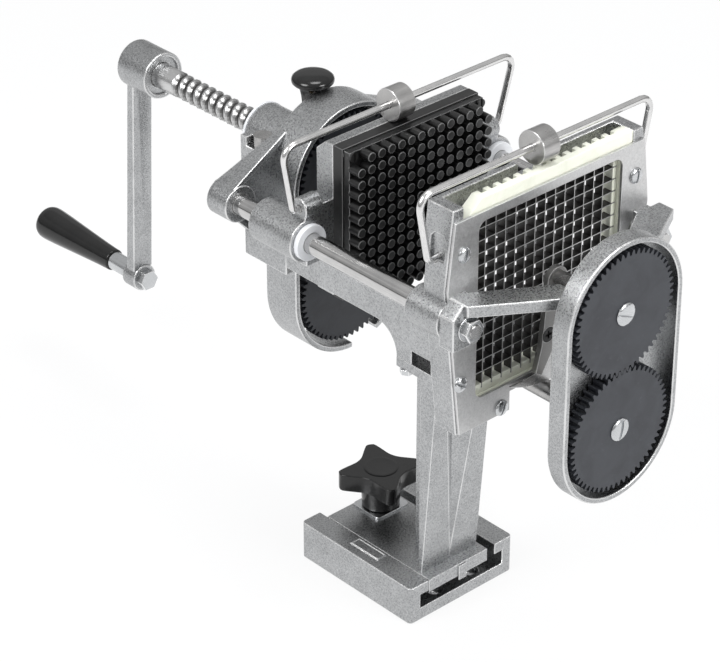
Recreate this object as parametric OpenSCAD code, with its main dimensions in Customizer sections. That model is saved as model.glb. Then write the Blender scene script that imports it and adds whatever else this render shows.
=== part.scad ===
// French fry cutter with a crank, on a T-slot foot.
// Millimetres. Origin at the centre of the base's underside, +Y towards the crank, +Z up.

/* [Base] */
// Width of the base
base_w = 90; // [84:1:120]
// Length of the base
base_l = 103; // [100:1:140]
// Height of the base
base_h = 27; // [24:0.5:34]
// Width of the slot between the rail lips
slot_w = 58; // [54:1:64]
// Width of the undercut below the lips
slot_under_w = 72; // [68:1:76]
// Thickness of the rail lips
lip_t = 8; // [6:0.5:10]
// Thickness of the slot floor
base_floor_t = 9; // [8:0.5:12]
// Spacing of the mounting holes across the base
mount_dx = 31; // [26:1:40]
// Distance of the mounting holes from the base's ends
mount_end = 9; // [8:0.5:14]
// Radius of the mounting holes
mount_r = 2.75; // [2:0.25:3.5]
// Radius of their counterbores
mount_head_r = 5.5; // [5:0.25:6.5]
// Depth of their counterbores
mount_head_t = 4; // [2:0.5:6]

/* [Column] */
// Width of the column
col_w = 48; // [44:1:52]
// Offset of the column to the left of the middle
col_off = 3.5; // [2:0.5:5]
// Depth of the column's foot along the base
foot_l = 96; // [90:1:100]
// Thickness of the column's shell at its foot
col_foot_t = 3; // [2.5:0.5:6]
// Depth of the column under its top flange
col_top_t = 17; // [14:1:20]
// Distance of the column's back face in front of the middle
col_back_y = 40; // [36:1:42]
// Thickness of the rib behind the column
rib_t = 8; // [6:1:12]
// Depth of the rib behind the column
rib_l = 24; // [16:1:26]
// Thickness of the column's top flange
flange_t = 6.5; // [5:0.5:8]
// Height of the food floor above the base's underside
floor_z = 209.5; // [207:0.5:212]

/* [Clamp knob] */
// Reach of the knob's lobes from its axis
knob_r = 28; // [24:1:30]
// Number of lobes
knob_lobes = 4; // [3:1:6]
// Height of the knob's top above the foot plate
knob_h = 30; // [26:1:32]
// Thickness of the lobes
knob_lobe_t = 13; // [10:1:15]
// Radius of the clamp stud
stud_r = 4; // [3:0.5:5]

/* [Cutting grid] */
// Pitch of the blades, which is the size of a fry
cell = 8; // [7:0.5:8.5]
// Cells along each side of the grid
cells = 14; // [10:1:14]
// Thickness of a blade
blade_t = 0.6; // [0.4:0.1:1]
// Depth of a blade
blade_d = 6; // [4:0.5:8]
// Thickness of the nylon cassette
cassette_t = 11.6; // [10:0.2:13]
// Width of the cassette's bars
cassette_bar = 12.5; // [10:0.5:13]

/* [Head] */
// Half width of the head at its widest
head_wide = 83; // [80:1:86]
// Half width of the head at its top
head_top_w = 77; // [76:0.5:79]
// Half width of the head at its bottom
head_low_w = 72; // [68:1:74]
// Thickness of the head's rear wall
head_wall = 5; // [4:0.5:6]
// Thickness of the steel front plate
plate_t = 2; // [1.5:0.25:2.5]
// Distance of the front plate's face in front of the middle
face_y = 118.2; // [116:0.2:121]

/* [Frame] */
// Thickness of the side walls
wall_t = 6.5; // [5:0.5:8]
// Height of the side walls above the food floor
wall_h = 37; // [32:0.5:38]
// Height of the side walls' thin rear part
rail_h = 18.5; // [14:0.5:19]
// Radius of the guide rods
rod_r = 6.4; // [5.5:0.1:6.5]
// Distance of each guide rod from the middle
rod_x = 78; // [76:0.5:80]
// Height of the guide rods
rod_z = 267; // [264:0.5:270]
// Radius of the front rod bosses
boss_r = 12.5; // [11:0.5:14]
// Distance of the rear rod bosses' ends behind the middle
rod_end_y = 84; // [82:1:88]

/* [Pusher] */
// Thickness of the black backing plate
back_plate_t = 8.2; // [7:0.2:10]
// Thickness of the pin plate
pin_plate_t = 5.2; // [4:0.2:6]
// Radius of a pin
pin_r = 2.95; // [2.4:0.05:3.1]
// Length of a pin
pin_l = 8.2; // [6:0.2:10]
// Thickness of the carriage wall
carriage_t = 14.9; // [12:0.1:17]
// Radius of the carriage's rod bosses
carriage_boss_r = 14; // [12.5:0.5:15]
// Length of the carriage's rod bosses
carriage_boss_l = 38; // [30:1:40]
// Feed travel from the rest place to the grid
travel = 91.5; // [80:0.5:92]

/* [Feed screw] */
// Height of the screw's axis
screw_z = 265.9; // [264:0.1:268]
// Radius of the thread's crests
screw_r = 8.5; // [8:0.25:9]
// Depth of the thread
thread_d = 2; // [1.5:0.1:2.4]
// Lead of the thread
lead = 7.5; // [6:0.5:9]
// Radius of the nut's boss
nut_r = 17.5; // [16:0.5:20]

/* [Crank] */
// Throw of the crank
throw = 165; // [150:1:175]
// Radius of the crank's hub
hub_r = 16; // [15:0.5:18]
// Length of the crank's hub
hub_l = 28.5; // [26:0.5:32]
// Width of the crank's arm
arm_w = 16; // [14:1:18]
// Thickness of the crank's arm
arm_t = 9; // [8:0.5:10]
// Length of the grip
grip_l = 78; // [70:1:85]
// Radius of the grip at its wide end
grip_r = 12; // [11:0.5:13]

/* [Gears] */
// Teeth of each gear
teeth = 56; // [52:2:58]
// Thickness of a gear
gear_t = 8; // [6:0.5:9]
// Radial gap between the teeth and the casing's rim
rim_gap = 3.3; // [2.5:0.1:4]
// Thickness of the casings' rims
rim_t = 3.7; // [3:0.1:4.5]
// Depth of the front casing
front_case_d = 13; // [12:0.5:15]
// Depth of the rear casing
rear_case_d = 28; // [27:0.5:30]
// Radius of the lay shaft and the knife shaft
shaft_r = 6; // [5:0.25:6.5]

/* [Knife] */
// Reach of the knife from the shaft's axis
knife_r = 70; // [60:1:70.5]
// Thickness of the blade
knife_t = 1.2; // [1:0.1:1.4]

/* [Wire latches] */
// Radius of the bails' wire
wire_r = 2.25; // [1.75:0.25:2.5]
// Radius of the bends at the bails' upper corners
bend_r = 8; // [6:0.5:10]
// Half width of the bails at their bars
bail_x = 94.5; // [92:0.5:98]
// Radius of the rollers
roller_r = 10.5; // [9:0.5:12]
// Length of the rollers
roller_l = 13; // [10:1:16]

/* [Hidden] */
$fn = 64;
// Running clearance of shafts, free clearance between moving pieces, and overrun of the cuts
run = 0.05;
gap = 0.3;
cut = 1;

// Base slot and foot
foot_top = base_h;
lip_z = base_h - lip_t;
base_r = 3;
mount_dy = base_l - 2 * mount_end;
foot_y = -base_l / 2;
foot_right = col_w / 2 - col_off + 2;
tongue_y = -20;
lug_w = 7;
lug_h = 12;
lug_t = 5;

// Column
col_x0 = -col_off - col_w / 2;
col_x1 = -col_off + col_w / 2;
flange_z = floor_z - flange_t;
groove_w = 40;
groove_z = foot_top + 5;
side_t = 6;
gusset_h = 54;

// Clamp
knob_x = 6;
knob_inset = 13.5;
knob_y = foot_y + foot_l - knob_inset;
washer_w = 28;
washer_l = 25;
washer_t = 1.5;
knob_hub_r = 13;
knob_z0 = foot_top + washer_t;
knob_z1 = foot_top + knob_h;
lobe_turn = 62;
lobe_curve = [[-0.62, 0.66], [-0.36, 0.83], [-0.18, 1], [0.18, 1], [0.36, 0.83], [0.62, 0.66], [1, 0.59]];

// Grid window and head
win = cells * cell / 2;
win_z0 = floor_z + 0.5;
win_z1 = win_z0 + 2 * win;
grid_z = win_z0 + win;
plate_y = -face_y;
head_front = plate_y + plate_t;
cassette_y0 = head_front + gap;
cassette_y1 = cassette_y0 + cassette_t;
pocket_y1 = cassette_y1 + gap;
head_back = pocket_y1 + head_wall;
pocket_w = win + cassette_bar + gap;
cassette_rise = 13.5;
cassette_top = win_z1 + cassette_rise;
cassette_body_rise = 2.5;
cassette_body_top = win_z1 + cassette_body_rise;
window_side = 2.5;
window_drop = 5;
cassette_z0 = win_z0 - window_drop - 2.5;
face_sink = 3;
blade_y0 = cassette_y0 + face_sink;
bar_t = 8.6;
bar_in = 14;
tooth_t = 3.5;
flare_wall = 4;
flare_y = head_back + 3.5;
flare_under = 1;
flare_rise = 2;
flare_low = 36;
latch_notch_w = 9.5;
head_top_z = win_z1 + 13;
head_mid_z = grid_z + 20;
head_step_w = 30;
latch_notch_z = win_z1 + 5;
plate_top = win_z1 + 6;
win_r = 6;
plate_head_r = 4.5;
plate_head_t = 1.2;
blade_in = 3;

// Side walls
wall_x0 = win + 1.5;
wall_x1 = wall_x0 + wall_t;
wall_z1 = floor_z + wall_h;
rail_z = wall_z1 - rail_h;
wall_end = 41;
wall_foot_y = -57;
notch_y0 = -86;
notch_l = 16;
notch_h = 9;
bolt_r = 2.5;
bolt_x = (wall_x0 + wall_x1) / 2;
frame_bolt_y = [-63, -92];
frame_bolt_l = 12;

// Rods
front_boss_l = 27;
spigot_r = 4;
spigot_end = 1;
lug_y = -130;
lug_x0 = 69;
lug_x1 = 89;
lug_z0 = rod_z - 13;
nut_t = 4.8;
nut_w = 13;
washer_r = 8;
rod_washer_t = 1.5;
rear_boss_l = 18;
rear_boss_r = 12;
plug_t = 3;

// Gear train: the axes stand apart by the knife's reach, the lay shaft and a clearance
knife_clear = 1.84;
gear_m = (knife_r + shaft_r + knife_clear) / teeth;
pitch_r = teeth * gear_m / 2;
tip_r = pitch_r + gear_m;
root_r = pitch_r - 1.25 * gear_m;
backlash_share = 0.46;
axis_gap = teeth * gear_m;
lay_z = screw_z - axis_gap;
lay_clear = 4;
head_step_h = 13;
head_step_z = lay_z + shaft_r + lay_clear;
head_low_z = head_step_z - head_step_h;
case_in = tip_r + rim_gap;
case_r = case_in + rim_t;
front_rim_y = -179.2;
front_back_y = front_rim_y + front_case_d;
case_floor_t = 3.4;
rim_lip = 0.9;
front_gear_y = front_rim_y + rim_lip;
rear_rim_y = 51.5;
rear_back_y = rear_rim_y + rear_case_d;
rear_floor_t = 6;
rear_gear_y = rear_rim_y + 2.5;
bush_t = 2;
bush_r = shaft_r + bush_t;
front_hub_l = 14;
knife_hub_l = 14;
shaft_boss_r = 13;
rear_hub_r = 13;
rear_web_w = 30;
shelf_t = 4;
gear_screw_r = 6.5;
gear_screw_t = 2.5;
thread_r = 3;
thread_l = 12;
slot_t = 1.4;

// Nut block
nut_block_w = 56;
nut_block_y1 = 125;
nut_end = 133.3;
nut_block_z1 = screw_z + 9;
nut_block_z0 = screw_z - 14;
nut_washer_t = 1.8;
release_y = rear_back_y + 8;
half_nut_l = 12;
half_nut_w = 22;
half_nut_z1 = nut_block_z1 + 4;
stem_r = 4;
cap_r = 12.5;
cap_z = screw_z + case_r + 0.8;
cap_h = 15;
neck_r = 6;
neck_h = 16;
nut_pin_r = 6;
nut_pin_x = -20.5;
nut_pin_y = 112;
notch_x = -17.5;

// Pusher stack, from its front to its back
wall_y0 = 7.4;
wall_y1 = wall_y0 + carriage_t;
back_plate_y = wall_y0 - back_plate_t;
pin_plate_y = back_plate_y - pin_plate_t;
pin_y = pin_plate_y - pin_l;
pusher_gap = 0.4;
pusher_w = win - pusher_gap;
pin_row = 1;
pusher_lift = pin_row * cell + 1;
pusher_z0 = win_z0 + pusher_gap + gap + pusher_lift;
pusher_z1 = win_z1 - pusher_gap + gap;
pusher_h = pusher_z1 - pusher_z0;
carriage_boss_y = 5;
flange_r = 11.5;
bush_lip = 3.7;
rod_bush_r = rod_r + 2.5;
ear_y = 10.6;
ear_rise = 19.8;
ear_z = rod_z + ear_rise;
ear_x0 = 66;
ear_x1 = 80;
ear_r = 7;
wing_gap = 1.2;
top_bevel = 8;
screw_boss_r = 19;
screw_boss_l = 15;
journal_r = screw_r - 1.6;
journal_y = wall_y0 + 3;
retainer_r = 10;

// Screw and crank
thread_y0 = wall_y1 + screw_boss_l + gap;
thread_y1 = 217;
hub_clear = 8.8;
hub_y = nut_end + nut_washer_t + travel + hub_clear;
key_w = 6;
key_d = 2;
flat_x = screw_r - key_d;
thread_steps = 6;
thread_sides = 16;
arm_y = hub_y + hub_l - 6;
arm_lean = 8;
end_z = screw_z - throw;
end_r = 9.5;
end_y = arm_y + arm_lean - 1.5;
end_l = 13;
grip_y = end_y + end_l + 20;
collar_r = 6.5;
spindle_r = 4;
grip_narrow_r = 7.5;
grip_tip_l = 8;
grip_core_l = grip_l - grip_tip_l;
head_t = 5.5;

// Knife
knife_gap = 0.3;
knife_y0 = plate_y - plate_head_t - knife_gap - knife_t;
knife_arm_t = 4;
knife_arm_y = knife_y0 - knife_arm_t;
knife_hub_r = 8;
knife_screw_x = -6;
knife_screw_drop = 35;
knife_screw_z = screw_z - knife_screw_drop;
knife_tip_x = -13.5;
knife_tip_drop = 61;
knife_tip_z = screw_z - knife_tip_drop;
knife_head_r = 5;
blade_mid = -50;
blade_half = 68;
blade_off = 40;
blade_in_r = sqrt(knife_r * knife_r + blade_off * blade_off + 2 * knife_r * blade_off * cos(blade_half));

// Bails
foot_bend_r = 4;
bend_steps = 5;
wire_sides = 12;
rear_foot_x = 84.5;
front_foot_x = 86;
rear_bar_z = pusher_z1 + roller_r + gap;
front_bar_z = cassette_top + roller_r + gap;
rear_lean = 3.3;
front_lean = 0.7;
front_pivot_y = -105.5;
front_pivot_rise = 36.5;
front_pivot_z = grid_z + front_pivot_rise;
bail_hole_in = 72;
rear_roller_x = -4.5;
front_roller_x = 0.5;

// Shared shapes

// An XZ outline given thickness t behind the plane y0
module front_slab(y0, t) {
    translate([0, y0 + t, 0])
        rotate([90, 0, 0])
            linear_extrude(t)
                children();
}

// A YZ outline given thickness t to the right of the plane x0
module side_slab(x0, t) {
    translate([x0, 0, 0])
        rotate([90, 0, 90])
            linear_extrude(t)
                children();
}

// A cylinder along +Y from the point p
module rod(p, r, l) {
    translate(p)
        rotate([-90, 0, 0])
            cylinder(r = r, h = l);
}

// A copy on each side of the middle plane
module both_sides() {
    children();
    mirror([1, 0, 0])
        children();
}

module round_rect(w, h, r) {
    square([w - 2 * r, h], center = true);
    square([w, h - 2 * r], center = true);
    for (sx = [-1, 1], sy = [-1, 1])
        translate([sx * (w / 2 - r), sy * (h / 2 - r)])
            circle(r, $fn = 32);
}

// Two equal circles about the gear axes, joined
module stadium(r) {
    translate([0, screw_z])
        circle(r, $fn = 96);
    translate([0, lay_z])
        circle(r, $fn = 96);
    translate([-r, lay_z])
        square([2 * r, axis_gap]);
}

// Hexagon across flats af, along +Y from the point p
module hex_head(p, af, t) {
    translate(p)
        rotate([-90, 0, 0])
            cylinder(d = af / cos(30), h = t, $fn = 6);
}

// Round slotted screw head facing -Y, with its shank behind it
module slotted_screw(p, head_r, head_t, shank_r, shank_l) {
    difference() {
        rod([p[0], p[1] - head_t, p[2]], head_r, head_t);
        translate([p[0] - slot_t / 2, p[1] - head_t - cut, p[2] - head_r - cut])
            cube([slot_t, cut + head_t / 2, 2 * head_r + 2 * cut]);
    }
    rod(p, shank_r, shank_l);
}

// Closed skin over rings of equal counts, each counterclockwise about the way they follow
module tube(rings) {
    n = len(rings[0]);
    last = len(rings) - 1;
    walls = [for (k = [0 : last - 1], j = [0 : n - 1])
        let (a = k * n + j, b = k * n + (j + 1) % n)
        each [[a, a + n, b], [b, a + n, b + n]]];
    bottom = [for (j = [0 : n - 1]) j];
    top = [for (j = [n - 1 : -1 : 0]) last * n + j];
    polyhedron([for (ring = rings) each ring], concat([bottom, top], walls));
}

// Involute angle at radius r on a gear of base radius b
function inv_angle(r, b) = tan(acos(b / r)) * 180 / PI - acos(b / r);

// One gear tooth's points, turned to the angle a
function tooth_points(a) =
    let (
        b = pitch_r * cos(20),
        half = 90 * backlash_share / teeth * 2,
        base_inv = inv_angle(pitch_r, b),
        radii = [root_r, (root_r + pitch_r) / 2, pitch_r, (pitch_r + tip_r) / 2, tip_r],
        turn = [for (r = radii) half + base_inv - inv_angle(r, b)]
    )
    concat(
        [for (i = [0 : 4]) radii[i] * [cos(a - turn[i]), sin(a - turn[i])]],
        [for (i = [4 : -1 : 0]) radii[i] * [cos(a + turn[i]), sin(a + turn[i])]]
    );

module gear_outline(phase) {
    points = [for (k = [0 : teeth - 1]) each tooth_points((k + phase) * 360 / teeth)];
    polygon(points);
}

// Gear with its axis along Y, its front face at y0 and a bore of radius bore_r
module gear(y0, z, phase, bore_r) {
    difference() {
        translate([0, 0, z])
            front_slab(y0, gear_t)
                gear_outline(phase);
        rod([0, y0 - cut, z], bore_r, gear_t + 2 * cut);
    }
}

// Stand

module base() {
    color("lightgray")
        difference() {
            linear_extrude(base_h)
                round_rect(base_w, base_l, base_r);
            translate([-slot_w / 2, -base_l / 2 - cut, base_floor_t])
                cube([slot_w, base_l + 2 * cut, base_h]);
            translate([-slot_under_w / 2, -base_l / 2 - cut, base_floor_t])
                cube([slot_under_w, base_l + 2 * cut, lip_z - base_floor_t]);
            for (sx = [-1, 1], sy = [-1, 1])
                translate([sx * mount_dx / 2, sy * mount_dy / 2, 0]) {
                    translate([0, 0, -cut])
                        cylinder(r = mount_r, h = base_floor_t + 2 * cut);
                    translate([0, 0, base_floor_t - mount_head_t])
                        cylinder(r = mount_head_r, h = mount_head_t + cut);
                }
        }
}

// Outline of the post from the side: an upright back and a front that leans out
module post_side() {
    polygon([
        [-col_back_y, foot_top - cut],
        [-col_back_y, flange_z + cut],
        [-col_back_y - col_top_t, flange_z + cut],
        [-col_back_y - col_foot_t, foot_top - cut]
    ]);
}

// Gussets that spread the post to the top flange
module gusset_side() {
    front = head_back + gap;
    polygon([
        [-col_back_y, flange_z - gusset_h],
        [-col_back_y, flange_z + cut],
        [front, flange_z + cut],
        [front, flange_z - side_t],
        [-col_back_y - col_top_t * 0.7, flange_z - gusset_h]
    ]);
}

module column() {
    color("silver")
        difference() {
            union() {
                side_slab(col_x0, col_w)
                    post_side();
                for (x = [col_x0, col_x1 - side_t])
                    side_slab(x, side_t)
                        gusset_side();
                translate([-col_off - rib_t / 2, -col_back_y - cut, foot_top - cut])
                    cube([rib_t, rib_l + cut, flange_z - foot_top + 2 * cut]);
                translate([-wall_x1, head_back, flange_z])
                    cube([2 * wall_x1, wall_foot_y - head_back, flange_t]);
                translate([col_x0, wall_foot_y - cut, flange_z])
                    cube([col_w, rib_l - col_back_y - wall_foot_y + cut, flange_t]);
                foot();
            }
            groove();
            rod([0, head_back - cut, lay_z], bush_r, rib_l - col_back_y - head_back + 2 * cut);
            translate([knob_x, knob_y, 0])
                cylinder(r = stud_r + run, h = base_h + cut);
            both_sides()
                for (y = frame_bolt_y)
                    translate([bolt_x, y, flange_z - cut])
                        cylinder(r = bolt_r, h = flange_t + 2 * cut);
        }
}

// Foot plate between the lips, its tongue under them and the small stop lug in front
module foot() {
    tongue_w = slot_under_w - 2 * gap;
    left = -slot_w / 2 + gap;
    tongue_z = base_floor_t + gap;
    translate([left, foot_y, lip_z - gap - cut])
        cube([foot_right - left, foot_l, foot_top - lip_z + gap + cut]);
    translate([-tongue_w / 2, tongue_y, tongue_z])
        cube([tongue_w, foot_y + foot_l - tongue_y, lip_z - 2 * gap - base_floor_t]);
    translate([-lug_w / 2, foot_y - cut, foot_top - lug_h])
        cube([lug_w, lug_t, lug_h - cut]);
}

// Tapering V groove down the front of the post
module groove() {
    depth = col_top_t - side_t / 2;
    tilt = atan((depth - col_top_t + col_foot_t) / (flange_z - groove_z));
    translate([-col_off, -col_back_y - col_foot_t - cut / 2, groove_z])
        rotate([tilt, 0, 0])
            linear_extrude(2 * flange_z)
                polygon([[0, 0], [-groove_w, -groove_w * 0.7], [groove_w, -groove_w * 0.7]]);
}

module clamp_washer() {
    color("gainsboro")
        difference() {
            translate([knob_x, knob_y, foot_top])
                linear_extrude(washer_t)
                    round_rect(washer_w, washer_l, base_r);
            translate([knob_x, knob_y, foot_top - cut])
                cylinder(r = stud_r + gap, h = washer_t + 2 * cut);
        }
}

// Outline of the clamp's knob: blunt lobes with hollow curves between them
module knob_outline() {
    half = 180 / knob_lobes;
    polygon([
        for (k = [0 : knob_lobes - 1], step = lobe_curve)
            let (a = (2 * k + step[0]) * half + lobe_turn)
                knob_r * step[1] * [cos(a), sin(a)]
    ]);
}

module star_knob() {
    lobe_z = knob_z1 - knob_lobe_t;
    color("#1b1b1d")
        difference() {
            translate([knob_x, knob_y, 0]) {
                translate([0, 0, knob_z0 + gap])
                    cylinder(r1 = knob_hub_r * 0.9, r2 = knob_hub_r, h = lobe_z - knob_z0);
                translate([0, 0, lobe_z])
                    linear_extrude(knob_lobe_t)
                        knob_outline();
            }
            translate([knob_x, knob_y, knob_z0 - cut])
                cylinder(r = stud_r, h = knob_h - knob_lobe_t / 2 + cut);
        }
}

module knob_stud() {
    top = knob_z0 + knob_h - knob_lobe_t / 2;
    color("silver")
        translate([knob_x, knob_y, base_floor_t + gap])
            cylinder(r = stud_r, h = top - base_floor_t - gap);
}

module frame_bolts() {
    af = 8;
    head = 3.5;
    color("gainsboro")
        both_sides()
            for (y = frame_bolt_y)
                translate([bolt_x, y, flange_z]) {
                    cylinder(r = bolt_r, h = frame_bolt_l);
                    translate([0, 0, -head])
                        cylinder(d = af / cos(30), h = head, $fn = 6);
                }
}

// Frame

// Side wall from the side, with its drain notch
module wall_side() {
    fillet = rail_z - floor_z;
    difference() {
        union() {
            translate([head_back, rail_z])
                square([wall_end - head_back, rail_h]);
            translate([head_back, floor_z])
                square([wall_foot_y - head_back, rail_z - floor_z + cut]);
            difference() {
                translate([wall_foot_y - cut, floor_z])
                    square([fillet + cut, fillet + cut]);
                translate([wall_foot_y + fillet, floor_z])
                    circle(fillet);
            }
        }
        translate([notch_y0, floor_z - cut])
            square([notch_l, notch_h + cut]);
    }
}

module side_wall(side) {
    color("silver")
        difference() {
            side_slab(side > 0 ? wall_x0 : -wall_x1, wall_t)
                wall_side();
            for (y = frame_bolt_y)
                translate([side * bolt_x, y, floor_z - cut])
                    cylinder(r = bolt_r, h = frame_bolt_l - flange_t + cut);
        }
}

module side_wall_left() {
    side_wall(-1);
}

module side_wall_right() {
    side_wall(1);
}

// Head's outline from the front
module head_outline(inset) {
    right = [
        [head_step_w, head_low_z + inset],
        [head_low_w - inset, head_low_z + inset],
        [head_wide - inset, head_mid_z],
        [head_top_w - inset, head_top_z]
    ];
    left = [for (i = [len(right) - 1 : -1 : 0]) [-right[i][0], right[i][1]]];
    step = [[-head_step_w, head_step_z + inset], [head_step_w, head_step_z + inset]];
    polygon(concat(right, left, step));
}

module window(r) {
    translate([0, grid_z])
        round_rect(2 * win, 2 * win, r);
}

// Opening of the cover plate, wider and lower than the grid
module plate_window(grow) {
    translate([0, grid_z - window_drop / 2])
        round_rect(2 * (win + window_side + grow), 2 * win + window_drop + 2 * grow, win_r);
}

// Thickening at the head's rear top, seen from the side
module flare_side(low, rise) {
    polygon([
        [head_back - cut, low],
        [flare_y, low + rise],
        [flare_y, head_top_z],
        [head_back - cut, head_top_z]
    ]);
}

module grid_head() {
    color("silver")
        difference() {
            union() {
                front_slab(head_front, head_back - head_front)
                    head_outline(0);
                intersection() {
                    front_slab(head_back - cut, flare_y - head_back + cut)
                        head_outline(0);
                    union() {
                        side_slab(-head_wide, 2 * head_wide)
                            flare_side(win_z1 + flare_under, flare_rise);
                        both_sides()
                            side_slab(wall_x0, head_wide - wall_x0)
                                flare_side(win_z1 - flare_low, flare_low + flare_rise);
                    }
                }
                both_sides()
                    rod([rod_x, plate_y, rod_z], boss_r, front_boss_l);
            }
            translate([-pocket_w, plate_y - cut, cassette_z0 - gap])
                cube([2 * pocket_w, pocket_y1 - plate_y + cut, head_top_z]);
            translate([-pocket_w, head_front, cassette_body_top])
                cube([2 * pocket_w, flare_y - flare_wall - head_front, head_top_z]);
            translate([-latch_notch_w, head_front, latch_notch_z])
                cube([2 * latch_notch_w, flare_y - head_front + cut, head_top_z]);
            front_slab(head_front - cut, head_back - head_front + 2 * cut)
                window(win_r);
            both_sides() {
                rod([rod_x, head_front, rod_z], rod_r, front_boss_l);
                rod([rod_x, plate_y - cut, rod_z], spigot_r, front_boss_l);
                translate([bail_hole_in + 2, front_pivot_y, front_pivot_z])
                    rotate([0, 90, 0])
                        cylinder(r = wire_r + run, h = head_wide);
            }
        }
}

// Places of the front plate's screws, as x and z
function plate_screw_places() = [
    [head_low_w - 2, win_z1 - 16],
    [head_low_w - 1, win_z0 + 11],
    [head_low_w / 2 + 1, head_low_z + 5.5]
];

module front_plate() {
    color("gainsboro")
        difference() {
            front_slab(plate_y, plate_t)
                difference() {
                    head_outline(1);
                    plate_window(0);
                    translate([-head_wide, plate_top])
                        square([2 * head_wide, head_top_z]);
                    for (s = [-1, 1])
                        translate([s * rod_x, rod_z])
                            circle(boss_r + gap);
                }
            both_sides()
                for (p = plate_screw_places())
                    rod([p[0], plate_y - cut, p[1]], bolt_r, plate_t + 2 * cut);
        }
}

module plate_screws() {
    color("gainsboro")
        both_sides()
            for (p = plate_screw_places())
                slotted_screw([p[0], plate_y, p[1]], plate_head_r, plate_head_t, bolt_r, plate_t);
}

// Blade lattice, each blade reaching ends past the window
module lattice(ends) {
    for (k = [1 : cells - 1]) {
        translate([-win + k * cell - blade_t / 2, blade_y0, win_z0 - ends])
            cube([blade_t, blade_d, 2 * win + 2 * ends]);
        translate([-win - ends, blade_y0, win_z0 + k * cell - blade_t / 2])
            cube([2 * win + 2 * ends, blade_d, blade_t]);
    }
}

module grid_blades() {
    color("#b9bcc0")
        lattice(blade_in);
}

module grid_cassette() {
    w = pocket_w - gap;
    bar_w = w - bar_in;
    color("ivory")
        difference() {
            union() {
                translate([-w, cassette_y0, cassette_z0])
                    cube([2 * w, cassette_t, cassette_body_top - cassette_z0]);
                front_slab(cassette_y0, bar_t)
                    polygon([
                        [-w, cassette_body_top - cut],
                        [-w, cassette_body_top],
                        [-bar_w, cassette_top],
                        [w, cassette_top],
                        [w, cassette_body_top - cut]
                    ]);
            }
            front_slab(cassette_y0 - cut, face_sink + cut)
                plate_window(window_side / 2);
            front_slab(cassette_y0 - cut, cassette_t + 2 * cut)
                window(win_r / 2);
            lattice(blade_in);
            for (k = [1 : cells])
                translate([-win + k * cell - cell / 4, cassette_y0 + bar_t - tooth_t, cassette_body_top])
                    cube([cell / 2, tooth_t + cut, cassette_rise]);
        }
}

// Guide rods

module guide_rod(side) {
    color("gainsboro")
        union() {
            rod([side * rod_x, head_front, rod_z], rod_r, rod_end_y - plug_t - head_front);
            rod([side * rod_x, lug_y - rod_washer_t - nut_t - spigot_end, rod_z],
                spigot_r, head_front - lug_y + rod_washer_t + nut_t + spigot_end + cut);
        }
}

module guide_rod_left() {
    guide_rod(-1);
}

module guide_rod_right() {
    guide_rod(1);
}

module rod_plugs() {
    color("#202020")
        both_sides()
            rod([rod_x, rod_end_y - plug_t, rod_z], rod_r, plug_t + 1);
}

module rod_washers() {
    color("gainsboro")
        both_sides()
            difference() {
                rod([rod_x, lug_y - rod_washer_t, rod_z], washer_r, rod_washer_t);
                rod([rod_x, lug_y - rod_washer_t - cut, rod_z], spigot_r, rod_washer_t + 2 * cut);
            }
}

module rod_nuts() {
    y = lug_y - rod_washer_t - nut_t;
    color("gainsboro")
        both_sides()
            difference() {
                hex_head([rod_x, y, rod_z], nut_w, nut_t);
                rod([rod_x, y - cut, rod_z], spigot_r, nut_t + 2 * cut);
            }
}

// Pusher

module carriage() {
    wing_z = wall_z1 + wing_gap;
    color("silver")
        difference() {
            union() {
                translate([-pusher_w, wall_y0, pusher_z0])
                    cube([2 * pusher_w, carriage_t, pusher_h]);
                rod([0, wall_y1 - cut, screw_z], screw_boss_r, screw_boss_l + cut);
                both_sides() {
                    rod([rod_x, carriage_boss_y, rod_z], carriage_boss_r, carriage_boss_l);
                    translate([pusher_w - cut, wall_y0, wing_z])
                        cube([rod_x - pusher_w, carriage_t, 2 * (rod_z - wing_z)]);
                    translate([ear_x0, ear_y, ear_z])
                        rotate([0, 90, 0])
                            cylinder(r = ear_r, h = ear_x1 - ear_x0);
                    translate([ear_x0, carriage_boss_y, rod_z])
                        cube([ear_x1 - ear_x0, ear_y + ear_r - carriage_boss_y, ear_z - rod_z]);
                }
            }
            side_slab(-pusher_w - cut, 2 * pusher_w + 2 * cut)
                polygon([
                    [wall_y1 - top_bevel, pusher_z1],
                    [wall_y1 + cut, pusher_z1 + cut],
                    [wall_y1 + cut, pusher_z1 - top_bevel]
                ]);
            both_sides() {
                rod([rod_x, carriage_boss_y - cut, rod_z], rod_bush_r, carriage_boss_l + 2 * cut);
                translate([ear_x0 - cut, ear_y, ear_z])
                    rotate([0, 90, 0])
                        cylinder(r = wire_r + run, h = ear_x1 - ear_x0 + 2 * cut);
            }
            rod([0, journal_y - cut, screw_z], journal_r + run, screw_boss_l + 2 * carriage_t);
            rod([0, wall_y0 - cut, screw_z], retainer_r + gap, journal_y - wall_y0 + cut);
        }
}

module carriage_bushes() {
    y = carriage_boss_y - bush_lip;
    color("ivory")
        both_sides()
            difference() {
                union() {
                    rod([rod_x, y, rod_z], flange_r, bush_lip);
                    rod([rod_x, y, rod_z], rod_bush_r, carriage_boss_l + bush_lip);
                }
                rod([rod_x, y - cut, rod_z], rod_r + run, carriage_boss_l + bush_lip + 2 * cut);
            }
}

module pusher_plate() {
    color("#2a2a2c")
        difference() {
            translate([-pusher_w, back_plate_y, pusher_z0])
                cube([2 * pusher_w, back_plate_t, pusher_h]);
            corner_screws(bolt_r, back_plate_y - cut, back_plate_t + 2 * cut);
        }
}

// Places of the pusher's corner screws, at the middle of its corner cells, as x and z
function corner_places() = [
    for (s = [-1, 1], z = [win_z0 + (pin_row + 0.5) * cell, win_z1 - cell / 2])
        [s * (win - cell / 2), z]
];

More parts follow.
